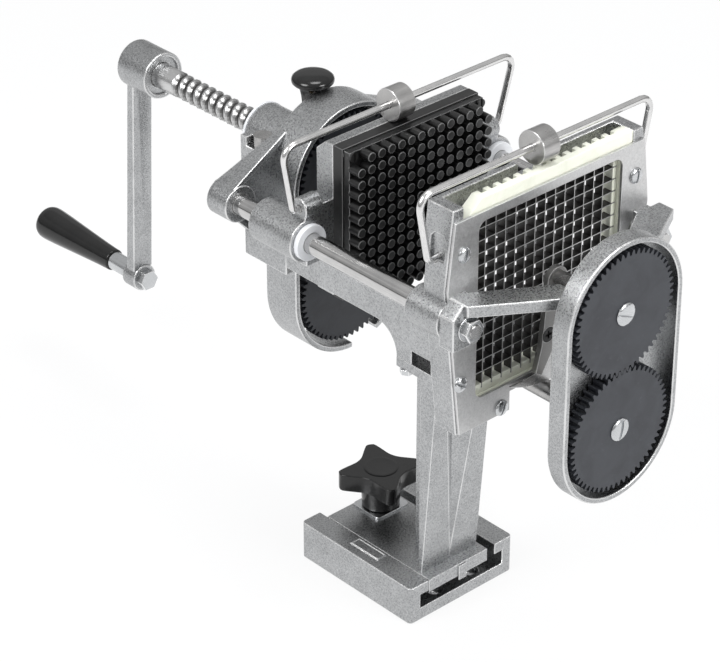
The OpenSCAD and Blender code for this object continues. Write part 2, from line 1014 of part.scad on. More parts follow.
module corner_screws(r, y, l) {
    for (p = corner_places())
        rod([p[0], y, p[1]], r, l);
}

// A pin stands at the middle of every cell above the floor rail but the four at the corners
module pin_plate() {
    last = cells - 1;
    color("#1d1d1f")
        union() {
            difference() {
                translate([-pusher_w + 1, pin_plate_y, pusher_z0 + 1])
                    cube([2 * pusher_w - 2, pin_plate_t, pusher_h - 2]);
                corner_screws(bolt_r, pin_plate_y - cut, pin_plate_t + 2 * cut);
            }
            for (i = [0 : last], k = [pin_row : last])
                if (!((i == 0 || i == last) && (k == pin_row || k == last)))
                    rod([-win + (i + 0.5) * cell, pin_y, win_z0 + (k + 0.5) * cell],
                        pin_r, pin_l + cut, $fn = 16);
        }
}

module pusher_screws() {
    color("#3a3a3c")
        for (p = corner_places())
            slotted_screw([p[0], pin_plate_y, p[1]], pin_r, 1.5, bolt_r,
                wall_y0 - pin_plate_y);
}

// Points of an arc of radius r about c in the wire's plane
function bend(c, r, a0, a1) =
    [for (i = [0 : bend_steps]) let (a = a0 + (a1 - a0) * i / bend_steps) c + r * [cos(a), sin(a)]];

// Right half of a wire latch, from the pin turned in to pin_x up to the middle of the bar
function bail_half(foot_x, pin_x, rise) =
    let (
        slant = atan((bail_x - foot_x) / rise),
        foot_off = foot_bend_r * tan((90 - slant) / 2),
        bar = bail_x - bend_r * tan((90 + slant) / 2)
    )
    concat(
        [[pin_x, 0]],
        bend([foot_x - foot_off, foot_bend_r], foot_bend_r, -90, -slant),
        bend([bar, rise - bend_r], bend_r, -slant, 90)
    );

// Wire latch in its own plane: feet at foot_x, bar at height rise
module bail(foot_x, pin_x, rise) {
    half = bail_half(foot_x, pin_x, rise);
    last = len(half) - 1;
    path = concat(
        [for (p = half) [-p[0], p[1]]],
        [for (i = [last : -1 : 0]) half[i]]
    );
    end = len(path) - 1;
    rings = [for (i = [0 : end])
        let (t = path[min(i + 1, end)] - path[max(i - 1, 0)], m = t / norm(t))
        [for (j = [0 : wire_sides - 1])
            let (a = j * 360 / wire_sides, out = wire_r * cos(a))
            [path[i][0] - out * m[1], -wire_r * sin(a), path[i][1] + out * m[0]]]];
    tube(rings);
}

// A roller at x on a latch's bar, at height z above its pivot
module roller(x, z) {
    translate([x - roller_l / 2, 0, z])
        rotate([0, 90, 0])
            difference() {
                cylinder(r = roller_r, h = roller_l);
                translate([0, 0, -cut])
                    cylinder(r = wire_r + run, h = roller_l + 2 * cut);
            }
}

// Leaning place of the rear latch on its ears
module rear_latch() {
    translate([0, ear_y, ear_z])
        rotate([rear_lean, 0, 0])
            children();
}

module rear_bail() {
    color("gainsboro")
        rear_latch()
            bail(rear_foot_x, ear_x0, rear_bar_z - ear_z);
}

module rear_roller() {
    color("lightgray")
        rear_latch()
            roller(rear_roller_x, rear_bar_z - ear_z);
}

// Leaning place of the front latch in the head's side walls
module front_latch() {
    translate([0, front_pivot_y, front_pivot_z])
        rotate([front_lean, 0, 0])
            children();
}

module front_bail() {
    color("gainsboro")
        front_latch()
            bail(front_foot_x, bail_hole_in + 2, front_bar_z - front_pivot_z);
}

module front_roller() {
    color("lightgray")
        front_latch()
            roller(front_roller_x, front_bar_z - front_pivot_z);
}

// Rear casing, nut and release

// Shelf along the top of the rear casing's right arm, thinner towards the ring
module arm_shelf(top, low) {
    slope = atan((top[1] - low[1]) / (low[0] - top[0]));
    side = [sin(slope), cos(slope)];
    tip = [rod_x, rod_z] + rear_boss_r * side;
    intersection() {
        front_slab(rod_end_y - rear_boss_l, rear_boss_l)
            polygon([top, tip, tip - shelf_t * side, top - shelf_t * side]);
        translate([0, 0, rod_z - rear_boss_r])
            linear_extrude(case_r + rear_boss_r)
                polygon([
                    [top[0] - shelf_t, rear_back_y - rear_floor_t],
                    [tip[0] + shelf_t, rod_end_y - rear_boss_l],
                    [tip[0] + shelf_t, rod_end_y],
                    [top[0] - shelf_t, rear_back_y]
                ]);
    }
}

module rear_casing() {
    arm_z0 = screw_z + 14;
    arm_top = [case_in * 0.8, screw_z + case_in * 0.75];
    color("silver")
        difference() {
            union() {
                front_slab(rear_rim_y, rear_case_d)
                    difference() {
                        stadium(case_r);
                        stadium(case_in);
                    }
                front_slab(rear_back_y - rear_floor_t, rear_floor_t) {
                    translate([0, screw_z])
                        circle(case_r - cut);
                    translate([-rear_web_w / 2, lay_z])
                        square([rear_web_w, axis_gap]);
                    translate([0, lay_z])
                        circle(rear_web_w / 2);
                    for (s = [-1, 1])
                        polygon([
                            [s * arm_top[0], arm_top[1]],
                            [s * rod_x, arm_z0],
                            [s * rod_x, rod_z - rear_boss_r],
                            [s * case_in, rail_z - 10],
                            [s * case_in * 0.5, screw_z]
                        ]);
                }
                rod([0, rear_gear_y + gear_t + gap, lay_z], shaft_boss_r,
                    rear_back_y - rear_gear_y - gear_t - gap);
                both_sides() {
                    arm_shelf(arm_top, [rod_x, arm_z0]);
                    rod([rod_x, rod_end_y - rear_boss_l, rod_z], rear_boss_r, rear_boss_l);
                    translate([case_in, wall_end, wall_z1 - 24])
                        cube([wall_x1 - case_in, rear_back_y - wall_end, 18]);
                }
                nut_block();
            }
            rod([0, rear_back_y - rear_floor_t - cut, screw_z], rear_hub_r + run, rear_floor_t + cut);
            rod([0, rear_back_y - cut, screw_z], screw_r + gap, nut_end);
            rod([0, rear_rim_y, lay_z], bush_r, rear_case_d + cut);
            front_slab(rear_rim_y - cut, rear_case_d + 2 * cut)
                translate([0, lay_z])
                    polygon([[0, 0], [0, -2 * case_r], [case_r, -2 * case_r]]);
            both_sides()
                rod([rod_x, rod_end_y - rear_boss_l - cut, rod_z], rod_r, rear_boss_l + 2 * cut);
            translate([-half_nut_w / 2 - gap, release_y - half_nut_l / 2 - gap, screw_z])
                cube([half_nut_w + 2 * gap, half_nut_l + 2 * gap, nut_r + case_r]);
            translate([nut_pin_x, nut_pin_y, screw_z])
                cylinder(r = nut_pin_r, h = nut_r);
        }
}

// Block behind the rear casing that carries the nut, with its notch for the pin
module nut_block() {
    difference() {
        union() {
            translate([-nut_block_w / 2, rear_back_y - cut, nut_block_z0])
                cube([nut_block_w, nut_block_y1 - rear_back_y + cut, nut_block_z1 - nut_block_z0]);
            rod([0, rear_back_y - cut, screw_z], nut_r, nut_end - rear_back_y + cut);
        }
        translate([-nut_block_w / 2 - cut, nut_pin_y - nut_pin_r - 1, nut_block_z1 - 6])
            cube([notch_x + nut_block_w / 2 + cut, 2 * nut_pin_r + 2, nut_r]);
    }
}

module nut_washer() {
    color("white")
        difference() {
            rod([0, nut_end, screw_z], nut_r + gap, nut_washer_t);
            rod([0, nut_end - cut, screw_z], screw_r + gap, nut_washer_t + 2 * cut);
        }
}

module nut_pin() {
    color("gray")
        translate([nut_pin_x, nut_pin_y, screw_z])
            cylinder(r = nut_pin_r - run, h = nut_block_z1 - screw_z + 2);
}

module half_nut() {
    color("darkkhaki")
        difference() {
            translate([-half_nut_w / 2, release_y - half_nut_l / 2, screw_z + gap])
                cube([half_nut_w, half_nut_l, half_nut_z1 - screw_z - gap]);
            rod([0, release_y - half_nut_l, screw_z], screw_r + run, 2 * half_nut_l);
        }
}

module release_knob() {
    z0 = half_nut_z1;
    neck_z = cap_z - neck_h;
    color("#161617")
        translate([0, release_y, 0]) {
            translate([0, 0, z0])
                cylinder(r = stem_r, h = neck_z - z0 + cut);
            translate([0, 0, neck_z])
                cylinder(r1 = neck_r, r2 = neck_r + 2, h = neck_h + cut);
            translate([0, 0, cap_z])
                cylinder(r1 = cap_r - 3, r2 = cap_r, h = cap_h / 3);
            translate([0, 0, cap_z + cap_h / 3])
                cylinder(r = cap_r, h = cap_h / 4);
            translate([0, 0, cap_z + cap_h * 7 / 12])
                cylinder(r1 = cap_r, r2 = cap_r / 2, h = cap_h / 3);
        }
}

// Feed screw and crank

// Radius of the rounded right-hand thread at the angle a and height z, less the drive flat
function thread_radius(a, z) =
    let (
        wave = screw_r - thread_d / 2 + thread_d / 2 * cos(a - 360 * z / lead),
        flat = cos(a) > 0.5 ? flat_x / cos(a) : screw_r
    )
    min(wave, flat);

function plain_ring(r, z) =
    [for (j = [0 : thread_sides - 1])
        let (a = j * 360 / thread_sides)
        [r * cos(a), r * sin(a), z]];

function thread_ring(z) =
    [for (j = [0 : thread_sides - 1])
        let (a = j * 360 / thread_sides, r = thread_radius(a, z))
        [r * cos(a), r * sin(a), z]];

// Plain journal in the carriage, thread, and plain end in the crank's hub
module feed_screw() {
    journal_l = thread_y0 - journal_y;
    thread_l = thread_y1 - thread_y0;
    steps = ceil(thread_steps * thread_l / lead);
    rings = concat(
        [plain_ring(journal_r, 0), plain_ring(journal_r, journal_l - gap)],
        [for (k = [0 : steps]) thread_ring(journal_l + k * thread_l / steps)],
        [plain_ring(screw_r, journal_l + thread_l + cut)],
        [plain_ring(screw_r, hub_y + hub_l - cut - journal_y)]
    );
    color("gainsboro")
        translate([0, journal_y, screw_z])
            rotate([-90, 0, 0])
                tube(rings);
}

module screw_retainer() {
    color("gray")
        rod([0, wall_y0 + gap, screw_z], retainer_r, journal_y - wall_y0 - gap);
}

// Side outline of the crank's leaning arm
module arm_side() {
    z1 = screw_z - hub_r + 3;
    z0 = end_z + end_r - 3;
    polygon([
        [arm_y, z1],
        [arm_y + arm_t - 3, z1],
        [arm_y + arm_lean + arm_t - 1, z0],
        [arm_y + arm_lean, z0]
    ]);
}

module crank_arm() {
    color("lightgray")
        difference() {
            union() {
                rod([0, hub_y, screw_z], hub_r, hub_l);
                side_slab(-arm_w / 2, arm_w)
                    arm_side();
                rod([0, end_y, end_z], end_r, end_l);
            }
            rod([0, hub_y - cut, screw_z], screw_r, hub_l);
            rod([0, end_y - cut, end_z], spindle_r, end_l + 2 * cut);
        }
}

module crank_bolt() {
    color("gainsboro")
        union() {
            hex_head([0, end_y - head_t, end_z], nut_w, head_t);
            rod([0, end_y - cut, end_z], spindle_r, grip_y + grip_core_l - end_y);
        }
}

module grip_collar() {
    y = end_y + end_l;
    color("gainsboro")
        difference() {
            rod([0, y, end_z], collar_r, grip_y - y - gap);
            rod([0, y - cut, end_z], spindle_r, grip_y - y + 2 * cut);
        }
}

// Grip, wide at its free end, turning on the bolt
module grip() {
    mid_share = 0.55;
    color("#131314")
        translate([0, grip_y, end_z])
            rotate([-90, 0, 0])
                rotate_extrude()
                    polygon([
                        [spindle_r + run, 0],
                        [grip_narrow_r, 0],
                        [(grip_narrow_r + grip_r) / 2, grip_l * mid_share],
                        [grip_r, grip_l * 0.88],
                        [grip_r * 0.9, grip_l * 0.97],
                        [grip_r * 0.5, grip_l],
                        [0, grip_l],
                        [0, grip_core_l + gap],
                        [spindle_r + run, grip_core_l + gap]
                    ]);
}

// Front casing

// Arm from the lug on the rod boss to the casing, seen from above
module arm_plan(outer_x, reach) {
    polygon([
        [lug_x0, knife_y0 - knife_gap],
        [outer_x, knife_y0 - knife_gap],
        [outer_x, lug_y - reach],
        [case_in * 0.83, front_back_y + 5 - reach / 4],
        [case_in * 0.55, front_back_y - 1],
        [case_in * 0.55, front_back_y + 17]
    ]);
}

module front_casing() {
    arm_z = rod_z + washer_r + gap;
    arm_h = 7.5;
    lug_l = plate_y - lug_y;
    lug_top = arm_z + arm_h;
    lug_slope = 8;
    color("silver")
        difference() {
            union() {
                front_slab(front_rim_y, front_case_d)
                    difference() {
                        stadium(case_r);
                        stadium(case_in);
                    }
                front_slab(front_back_y - case_floor_t, case_floor_t)
                    stadium(case_r - cut);
                rod([0, front_back_y - cut, screw_z], shaft_boss_r, knife_hub_l);
                rod([0, front_back_y - cut, lay_z], shaft_boss_r, front_hub_l);
                both_sides()
                    front_slab(lug_y, lug_l)
                        polygon([
                            [lug_x0, lug_z0],
                            [lug_x1, lug_z0],
                            [lug_x1, lug_top - lug_slope],
                            [lug_x1 - lug_slope, lug_top],
                            [lug_x0, lug_top]
                        ]);
                translate([0, 0, arm_z])
                    linear_extrude(arm_h)
                        arm_plan(lug_x1, 3);
                mirror([1, 0, 0])
                    translate([0, 0, arm_z])
                        linear_extrude(arm_h)
                            arm_plan(lug_x1 - lug_slope, 3);
            }
            rod([0, front_rim_y, screw_z], bush_r, front_case_d + knife_hub_l);
            rod([0, front_rim_y, lay_z], bush_r, front_case_d + front_hub_l);
            rod([0, knife_y0 - knife_gap, screw_z], knife_r + 1, lug_l);
            both_sides()
                rod([rod_x, lug_y - cut, rod_z], spigot_r, lug_l + 2 * cut);
        }
}

// Gear train

module rear_upper_gear() {
    bore = screw_r + run;
    color("#4a4b4f")
        difference() {
            union() {
                gear(rear_gear_y, screw_z, 0, bore);
                difference() {
                    rod([0, rear_gear_y + gear_t - cut, screw_z], rear_hub_r,
                        rear_back_y - rear_gear_y - gear_t + cut - gap);
                    rod([0, rear_gear_y, screw_z], bore, rear_case_d);
                }
            }
            translate([0, rear_gear_y - cut, screw_z - key_w / 2])
                cube([screw_r + key_d, gear_t + 2 * cut, key_w]);
        }
}

module drive_key() {
    color("gray")
        translate([screw_r - key_d + run, rear_gear_y, screw_z - key_w / 2])
            cube([2 * key_d - run, gear_t, key_w]);
}

module rear_lower_gear() {
    color("#4a4b4f")
        gear(rear_gear_y, lay_z, 0.5, shaft_r);
}

module lay_shaft() {
    y0 = front_gear_y;
    color("gray")
        difference() {
            rod([0, y0, lay_z], shaft_r, rear_back_y + 2 - y0);
            rod([0, y0 - cut, lay_z], thread_r, thread_l + cut);
        }
}

module front_lower_gear() {
    color("#4a4b4f")
        gear(front_gear_y, lay_z, 0.5, shaft_r);
}

module front_upper_gear() {
    color("#4a4b4f")
        gear(front_gear_y, screw_z, 0, shaft_r);
}

module lower_gear_screw() {
    color("gainsboro")
        slotted_screw([0, front_gear_y, lay_z], gear_screw_r, gear_screw_t, thread_r, thread_l);
}

module upper_gear_screw() {
    color("gainsboro")
        slotted_screw([0, front_gear_y, screw_z], gear_screw_r, gear_screw_t, thread_r, thread_l);
}

// Plain bearing sleeve along Y
module sleeve(y, z, l) {
    difference() {
        rod([0, y, z], bush_r, l);
        rod([0, y - cut, z], shaft_r + run, l + 2 * cut);
    }
}

module shaft_bushes() {
    floor_y = front_back_y - case_floor_t;
    post_y = -col_back_y - col_top_t;
    color("darkgoldenrod") {
        sleeve(floor_y, screw_z, case_floor_t + knife_hub_l - cut);
        sleeve(floor_y, lay_z, case_floor_t + front_hub_l - cut);
        sleeve(post_y + 1, lay_z, rib_l + col_top_t - 2);
        sleeve(rear_gear_y + gear_t + gap, lay_z, rear_back_y - rear_gear_y - gear_t - gap);
    }
}

// Knife

module knife_shaft() {
    color("gray")
        difference() {
            rod([0, front_gear_y, screw_z], shaft_r, knife_y0 - front_gear_y);
            rod([0, front_gear_y - cut, screw_z], thread_r, thread_l + cut);
        }
}

module knife_arm() {
    color("lightgray")
        difference() {
            union() {
                rod([0, knife_arm_y, screw_z], knife_hub_r, knife_arm_t);
                front_slab(knife_arm_y, knife_arm_t)
                    polygon([
                        [-knife_hub_r + cut, screw_z],
                        [knife_hub_r - cut, screw_z],
                        [knife_hub_r * 0.6, knife_screw_z],
                        [knife_tip_x + 3, knife_tip_z],
                        [knife_tip_x - 2, knife_tip_z + 3],
                        [-knife_hub_r - 3, knife_screw_z - 6]
                    ]);
            }
            rod([0, knife_arm_y - cut, screw_z], shaft_r, knife_arm_t + 2 * cut);
            rod([knife_screw_x, knife_arm_y - cut, knife_screw_z], thread_r, knife_arm_t + 2 * cut);
            translate([knife_screw_x, knife_arm_y, knife_screw_z])
                rotate([-90, 0, 0])
                    cylinder(r1 = knife_head_r, r2 = thread_r, h = knife_head_r - thread_r);
        }
}

// Crescent blade with the tang that the arm clamps
module knife_blade() {
    color("#c9ccd1")
        difference() {
            translate([0, 0, screw_z])
                union() {
                    front_slab(knife_y0, knife_t)
                        difference() {
                            circle(knife_r, $fn = 96);
                            rotate(blade_mid)
                                translate([-blade_off, 0])
                                    circle(blade_in_r, $fn = 96);
                            translate([-2 * knife_r, -knife_r / 4])
                                square([4 * knife_r, 2 * knife_r]);
                        }
                    front_slab(knife_y0, knife_t)
                        polygon([
                            [-knife_hub_r, knife_screw_z - screw_z - 4],
                            [knife_hub_r / 2, knife_screw_z - screw_z + 8],
                            [knife_hub_r, -knife_r + 9],
                            [-knife_hub_r + 3, -knife_r + 6]
                        ]);
                }
            rod([knife_screw_x, knife_y0 - cut, knife_screw_z], thread_r, knife_t + 2 * cut);
        }
}

module knife_screw() {
    depth = knife_head_r - thread_r;
    color("#5a5c60")
        difference() {
            union() {
                rod([knife_screw_x, knife_arm_y, knife_screw_z], thread_r, knife_arm_t + knife_t);
                translate([knife_screw_x, knife_arm_y, knife_screw_z])
                    rotate([-90, 0, 0])
                        cylinder(r1 = knife_head_r, r2 = thread_r, h = depth);
            }
            for (a = [0, 90])
                translate([knife_screw_x, knife_arm_y, knife_screw_z])
                    rotate([0, a, 0])
                        cube([slot_t, depth, knife_head_r], center = true);
        }
}

base();
column();
clamp_washer();
star_knob();
knob_stud();
frame_bolts();
side_wall_left();
side_wall_right();
grid_head();
front_plate();
plate_screws();
grid_cassette();
grid_blades();
guide_rod_left();
guide_rod_right();
rod_plugs();
rod_washers();
rod_nuts();
carriage();
carriage_bushes();
pusher_plate();
pin_plate();
pusher_screws();
rear_bail();
rear_roller();
front_bail();
front_roller();
rear_casing();
nut_washer();
nut_pin();
half_nut();
release_knob();
feed_screw();
screw_retainer();
crank_arm();
crank_bolt();
grip_collar();
grip();
front_casing();
rear_upper_gear();
drive_key();
rear_lower_gear();
lay_shaft();
front_lower_gear();
front_upper_gear();
lower_gear_screw();
upper_gear_screw();
shaft_bushes();
knife_shaft();
knife_arm();
knife_blade();
knife_screw();
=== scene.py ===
"""Looks of a crank-driven french fry cutter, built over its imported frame."""

import logging
import math
from dataclasses import dataclass
from enum import Enum
from typing import Callable, Sequence

import bpy
from bpy.types import Material, Mesh, MeshPolygon, MeshVertex, NodeSocket, NodeTree, Object
from mathutils import Matrix, Vector


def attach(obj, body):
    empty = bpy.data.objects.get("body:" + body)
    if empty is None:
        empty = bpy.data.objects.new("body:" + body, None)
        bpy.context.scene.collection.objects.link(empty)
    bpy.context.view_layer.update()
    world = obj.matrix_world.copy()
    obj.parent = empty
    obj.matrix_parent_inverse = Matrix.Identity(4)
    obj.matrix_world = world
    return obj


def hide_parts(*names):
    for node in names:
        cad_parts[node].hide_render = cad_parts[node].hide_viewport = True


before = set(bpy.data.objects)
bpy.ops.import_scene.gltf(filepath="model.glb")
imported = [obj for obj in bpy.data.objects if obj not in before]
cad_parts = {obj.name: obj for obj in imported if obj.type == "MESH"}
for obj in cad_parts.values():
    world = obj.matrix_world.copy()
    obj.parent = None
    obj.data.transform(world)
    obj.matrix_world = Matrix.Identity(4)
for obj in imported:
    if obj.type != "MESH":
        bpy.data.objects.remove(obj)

LOG = logging.getLogger("fry_cutter")
MM = 0.001
FACING = 0.9  # Least cosine between a face's normal and the way that the face is said to look.
Point = tuple[float, float, float]
Colour = tuple[float, float, float]
Profile = Sequence[tuple[float, float]]


# Modelling helpers


def select_only(piece: Object) -> None:
    """Selects one object and makes it active.

    Args:
        piece: The object that the next operator works on.
    """
    bpy.ops.object.select_all(action="DESELECT")
    piece.hide_set(False)
    piece.select_set(True)
    bpy.context.view_layer.objects.active = piece


def edit_mode(piece: Object, mode: str = "VERT") -> None:
    """Opens an object in edit mode with nothing selected.

    Args:
        piece: The object to edit.
        mode: What is selected next: VERT, EDGE or FACE.
    """
    select_only(piece)
    bpy.ops.object.mode_set(mode="EDIT")
    bpy.ops.mesh.select_mode(type=mode)
    bpy.ops.mesh.select_all(action="DESELECT")


def object_mode() -> None:
    """Leaves edit mode."""
    bpy.ops.object.mode_set(mode="OBJECT")


def choose(
    piece: Object, test: Callable[[MeshPolygon | MeshVertex], bool], mode: str = "FACE"
) -> None:
    """Selects the faces or vertices that pass a test, and opens edit mode.

    Args:
        piece: The object to edit.
        test: Takes a face or a vertex.
        mode: FACE or VERT.
    """
    edit_mode(piece, mode)
    object_mode()
    for item in piece.data.polygons if mode == "FACE" else piece.data.vertices:
        item.select = bool(test(item))
    bpy.ops.object.mode_set(mode="EDIT")


def settle(piece: Object, name: str) -> Object:
    """Names a new piece and moves its place and turn into its mesh.

    Args:
        piece: The object to finish.
        name: Its name.

    Returns:
        The same object, at the origin.
    """
    piece.name = name
    piece.data.name = name
    select_only(piece)
    bpy.ops.object.transform_apply(location=True, rotation=True, scale=True)
    return piece


def smooth(piece: Object, angle: float = 32.0) -> None:
    """Shades a piece smooth except across edges sharper than angle.

    Args:
        piece: The object to shade.
        angle: Sharpest smooth edge, in degrees.
    """
    select_only(piece)
    bpy.ops.object.shade_smooth_by_angle(angle=math.radians(angle))
    weights = piece.modifiers.new("weights", "WEIGHTED_NORMAL")
    weights.keep_sharp = True
    weights.weight = 60
    apply_modifiers(piece)


def mark_wear_and_highlight(piece: Object, share: Callable[[MeshPolygon], float]) -> None:
    """Stores each face's share of rubbing and painted highlight, where that is more than before.

    Args:
        piece: The object.
        share: Takes a face and gives its share of rubbing and painted highlight, from 0 to 1.
    """
    layer = piece.data.attributes.get("wear_and_highlight") or piece.data.attributes.new("wear_and_highlight", "FLOAT", "FACE")
    values = [max(item.value, share(face)) for face, item in zip(piece.data.polygons, layer.data)]
    layer.data.foreach_set("value", values)


def leave_hollow_edges(mesh: Mesh) -> None:
    """Deselects the selected edges at which a mesh is hollow.

    Args:
        mesh: The mesh, in object mode.
    """
    sides: dict[tuple[int, int], list[MeshPolygon]] = {}
    for face in mesh.polygons:
        for key in face.edge_keys:
            sides.setdefault(key, []).append(face)
    for edge in mesh.edges:
        if edge.select:
            first, second = (sides[edge.key] * 2)[:2]
            edge.select = first.normal.dot(second.center - first.center) < 0


def round_edges(piece: Object, width: float, sharp: float = 32.0, segments: int = 2) -> None:
    """Rounds a piece's sharp outer edges and marks the rounding as partly rubbed, partly painted
    highlight.

    Args:
        piece: The object to round.
        width: Width of the rounding, in millimetres.
        sharp: Least angle of a rounded edge, in degrees.
        segments: Faces across the rounding.
    """
    mesh = piece.data
    for _ in range(2):  # The second of two empty slots marks the faces of the rounding.
        mesh.materials.append(None)
    edit_mode(piece, "EDGE")
    bpy.ops.mesh.select_all(action="SELECT")
    bpy.ops.mesh.quads_convert_to_tris()
    bpy.ops.mesh.select_all(action="DESELECT")
    bpy.ops.mesh.edges_select_sharp(sharpness=math.radians(sharp))
    object_mode()
    leave_hollow_edges(mesh)
    bpy.ops.object.mode_set(mode="EDIT")
    bpy.ops.mesh.bevel(
        offset=width * MM, segments=segments, affect="EDGES", clamp_overlap=False,
        loop_slide=False, material=1,
    )
    object_mode()
    # The rounding's faces take the bright colour: partly rubbed edges, partly painted highlight.
    mark_wear_and_highlight(piece, lambda face: float(face.material_index == 1))
    mesh.polygons.foreach_set("material_index", [0] * len(mesh.polygons))
    mesh.materials.clear()
    smooth(piece, 50.0)


def copy_of(node: str, name: str) -> Object:
    """Makes a merged copy of a CAD node's mesh to work on.

    Args:
        node: The CAD node.
        name: The new piece's name.

    Returns:
        A closed mesh with the node's shape, at the origin.
    """
    piece = bpy.data.objects.new(name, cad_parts[node].data.copy())
    bpy.context.scene.collection.objects.link(piece)
    piece.data.materials.clear()
    select_only(piece)
    bpy.ops.mesh.customdata_custom_splitnormals_clear()
    edit_mode(piece)
    bpy.ops.mesh.select_all(action="SELECT")
    bpy.ops.mesh.remove_doubles(threshold=0.002 * MM)
    object_mode()
    return piece


def apply_modifiers(piece: Object) -> None:
    """Applies every modifier of a piece in order.

    Args:
        piece: The object.
    """
    select_only(piece)
    for modifier in list(piece.modifiers):
        bpy.ops.object.modifier_apply(modifier=modifier.name)


def cut_away(piece: Object, tool: Object) -> None:
    """Subtracts a tool from a piece and deletes the tool.

    Args:
        piece: The object that is cut.
        tool: The closed shape that is taken out.
    """
    modifier = piece.modifiers.new("cut", "BOOLEAN")
    modifier.operation = "DIFFERENCE"
    modifier.solver = "EXACT"
    modifier.object = tool
    apply_modifiers(piece)
    bpy.data.objects.remove(tool)


def join(parts: Sequence[Object], name: str) -> Object:
    """Joins several objects into one piece.

    Args:
        parts: The objects, the first of which stays.
        name: The piece's name.

    Returns:
        The joined object.
    """
    select_only(parts[0])
    for part in parts[1:]:
        part.select_set(True)
    bpy.ops.object.join()
    parts[0].name = name
    return parts[0]


def turned(
    name: str,
    profile: Profile,
    place: Point,
    axis: str = "Y",
    sides: int = 64,
) -> Object:
    """Models a turned part by extruding a disc ring by ring along its axis.

    Args:
        name: The piece's name.
        profile: Distance along the axis and radius, above 0, of each ring, in millimetres.
        place: The axis' start, in millimetres.
        axis: Y for an axis along +Y, Z for one along +Z, X for one along +X.
        sides: Faces round the axis.

    Returns:
        A closed smooth mesh.
    """
    start, radius = profile[0]
    bpy.ops.mesh.primitive_circle_add(
        vertices=sides, radius=radius * MM, fill_type="NGON", location=(0, 0, start * MM)
    )
    piece = settle(bpy.context.object, name)
    edit_mode(piece, "FACE")
    bpy.ops.mesh.select_all(action="SELECT")
    for (z0, r0), (z1, r1) in zip(profile, profile[1:]):
        bpy.ops.mesh.extrude_region_move(
            TRANSFORM_OT_translate={"value": (0, 0, (z1 - z0) * MM)}
        )
        bpy.ops.transform.resize(value=(r1 / r0, r1 / r0, 1), center_override=(0, 0, z1 * MM))
    bpy.ops.mesh.select_all(action="SELECT")
    bpy.ops.mesh.normals_make_consistent(inside=False)
    object_mode()
    turns = {
        "X": Matrix.Rotation(math.pi / 2, 4, "Y"),
        "Y": Matrix.Rotation(-math.pi / 2, 4, "X"),
        "Z": Matrix.Identity(4),
    }
    piece.matrix_world = Matrix.Translation(Vector(place) * MM) @ turns[axis]
    return settle(piece, name)


def copy_moved(piece: Object, name: str, place: Point, turn: float = 0.0) -> Object:
    """Copies a piece with its own mesh, turned about Y and moved.

    Args:
        piece: The object at the origin.
        name: The copy's name.
        place: Where the copy goes, in millimetres.
        turn: Angle about the Y axis, in degrees.

    Returns:
        The copy, with its place in its mesh.
    """
    other = bpy.data.objects.new(name, piece.data.copy())
    bpy.context.scene.collection.objects.link(other)
    spin = Matrix.Rotation(math.radians(turn), 4, "Y")
    other.matrix_world = Matrix.Translation(Vector(place) * MM) @ spin
    return settle(other, name)


def slotted_head(name: str, radius: float, height: float, slot: float) -> Object:
    """Models a domed screw head with a slot, facing -Y at the origin.

    Args:
        name: The piece's name.
        radius: Radius of the head, in millimetres.
        height: Height of the dome.
        slot: Width of the slot.

    Returns:
        The head.
    """
    foot_share, bulge_share, rim_share, eye_share, slot_share = 0.96, 0.12, 0.3, 0.12, 0.35
    rim_radius, rings, overrun = 0.985 * radius, 5, 1
    dome = [(0.0, radius * foot_share), (-bulge_share * height, radius), (-rim_share * height, rim_radius)]
    for ring in range(1, rings + 1):
        lean = ring / rings * math.pi / 2
        level = rim_share + (1 - rim_share) * math.sin(lean)
        dome.append((-height * level, max(rim_radius * math.cos(lean), radius * eye_share)))
    head = turned(name, dome, (0, 0, 0), "Y", 40)
    reach = radius + overrun
    tool = block("slot", (-slot / 2, -height - overrun, -reach), (slot / 2, -height * slot_share, reach))
    cut_away(head, tool)
    round_edges(head, 0.12, 50.0)
    return head


def block(name: str, low: Point, high: Point) -> Object:
    """Adds a box between two corners, to be shaped further.

    Args:
        name: The piece's name.
        low: Lowest corner, in millimetres.
        high: Highest corner, in millimetres.

    Returns:
        The box, at the origin.
    """
    a, b = Vector(low) * MM, Vector(high) * MM
    bpy.ops.mesh.primitive_cube_add(size=1, location=(a + b) / 2, scale=b - a)
    return settle(bpy.context.object, name)


# Materials


class Skin(Enum):
    """Surface structures that the finishes use."""

    CAST = "cast"
    BRUSHED = "brushed"
    MOULDED = "moulded"


AXES = "XYZ"
WHITE = (1.0, 1.0, 1.0, 1.0)


def add_node(
    tree: NodeTree, kind: str, links: dict[str | int, object] | None = None, **values: object
) -> bpy.types.Node:
    """Adds a shader node to a tree.

    Args:
        tree: The node tree.
        kind: Type without the ShaderNode prefix.
        links: Output socket or constant for each input, by name or index.
        values: Properties to set.

    Returns:
        The node.
    """
    made = tree.nodes.new("ShaderNode" + kind)
    for key, value in values.items():
        setattr(made, key, value)
    for key, value in (links or {}).items():
        if isinstance(value, NodeSocket):
            tree.links.new(value, made.inputs[key])
        else:
            made.inputs[key].default_value = value
    return made


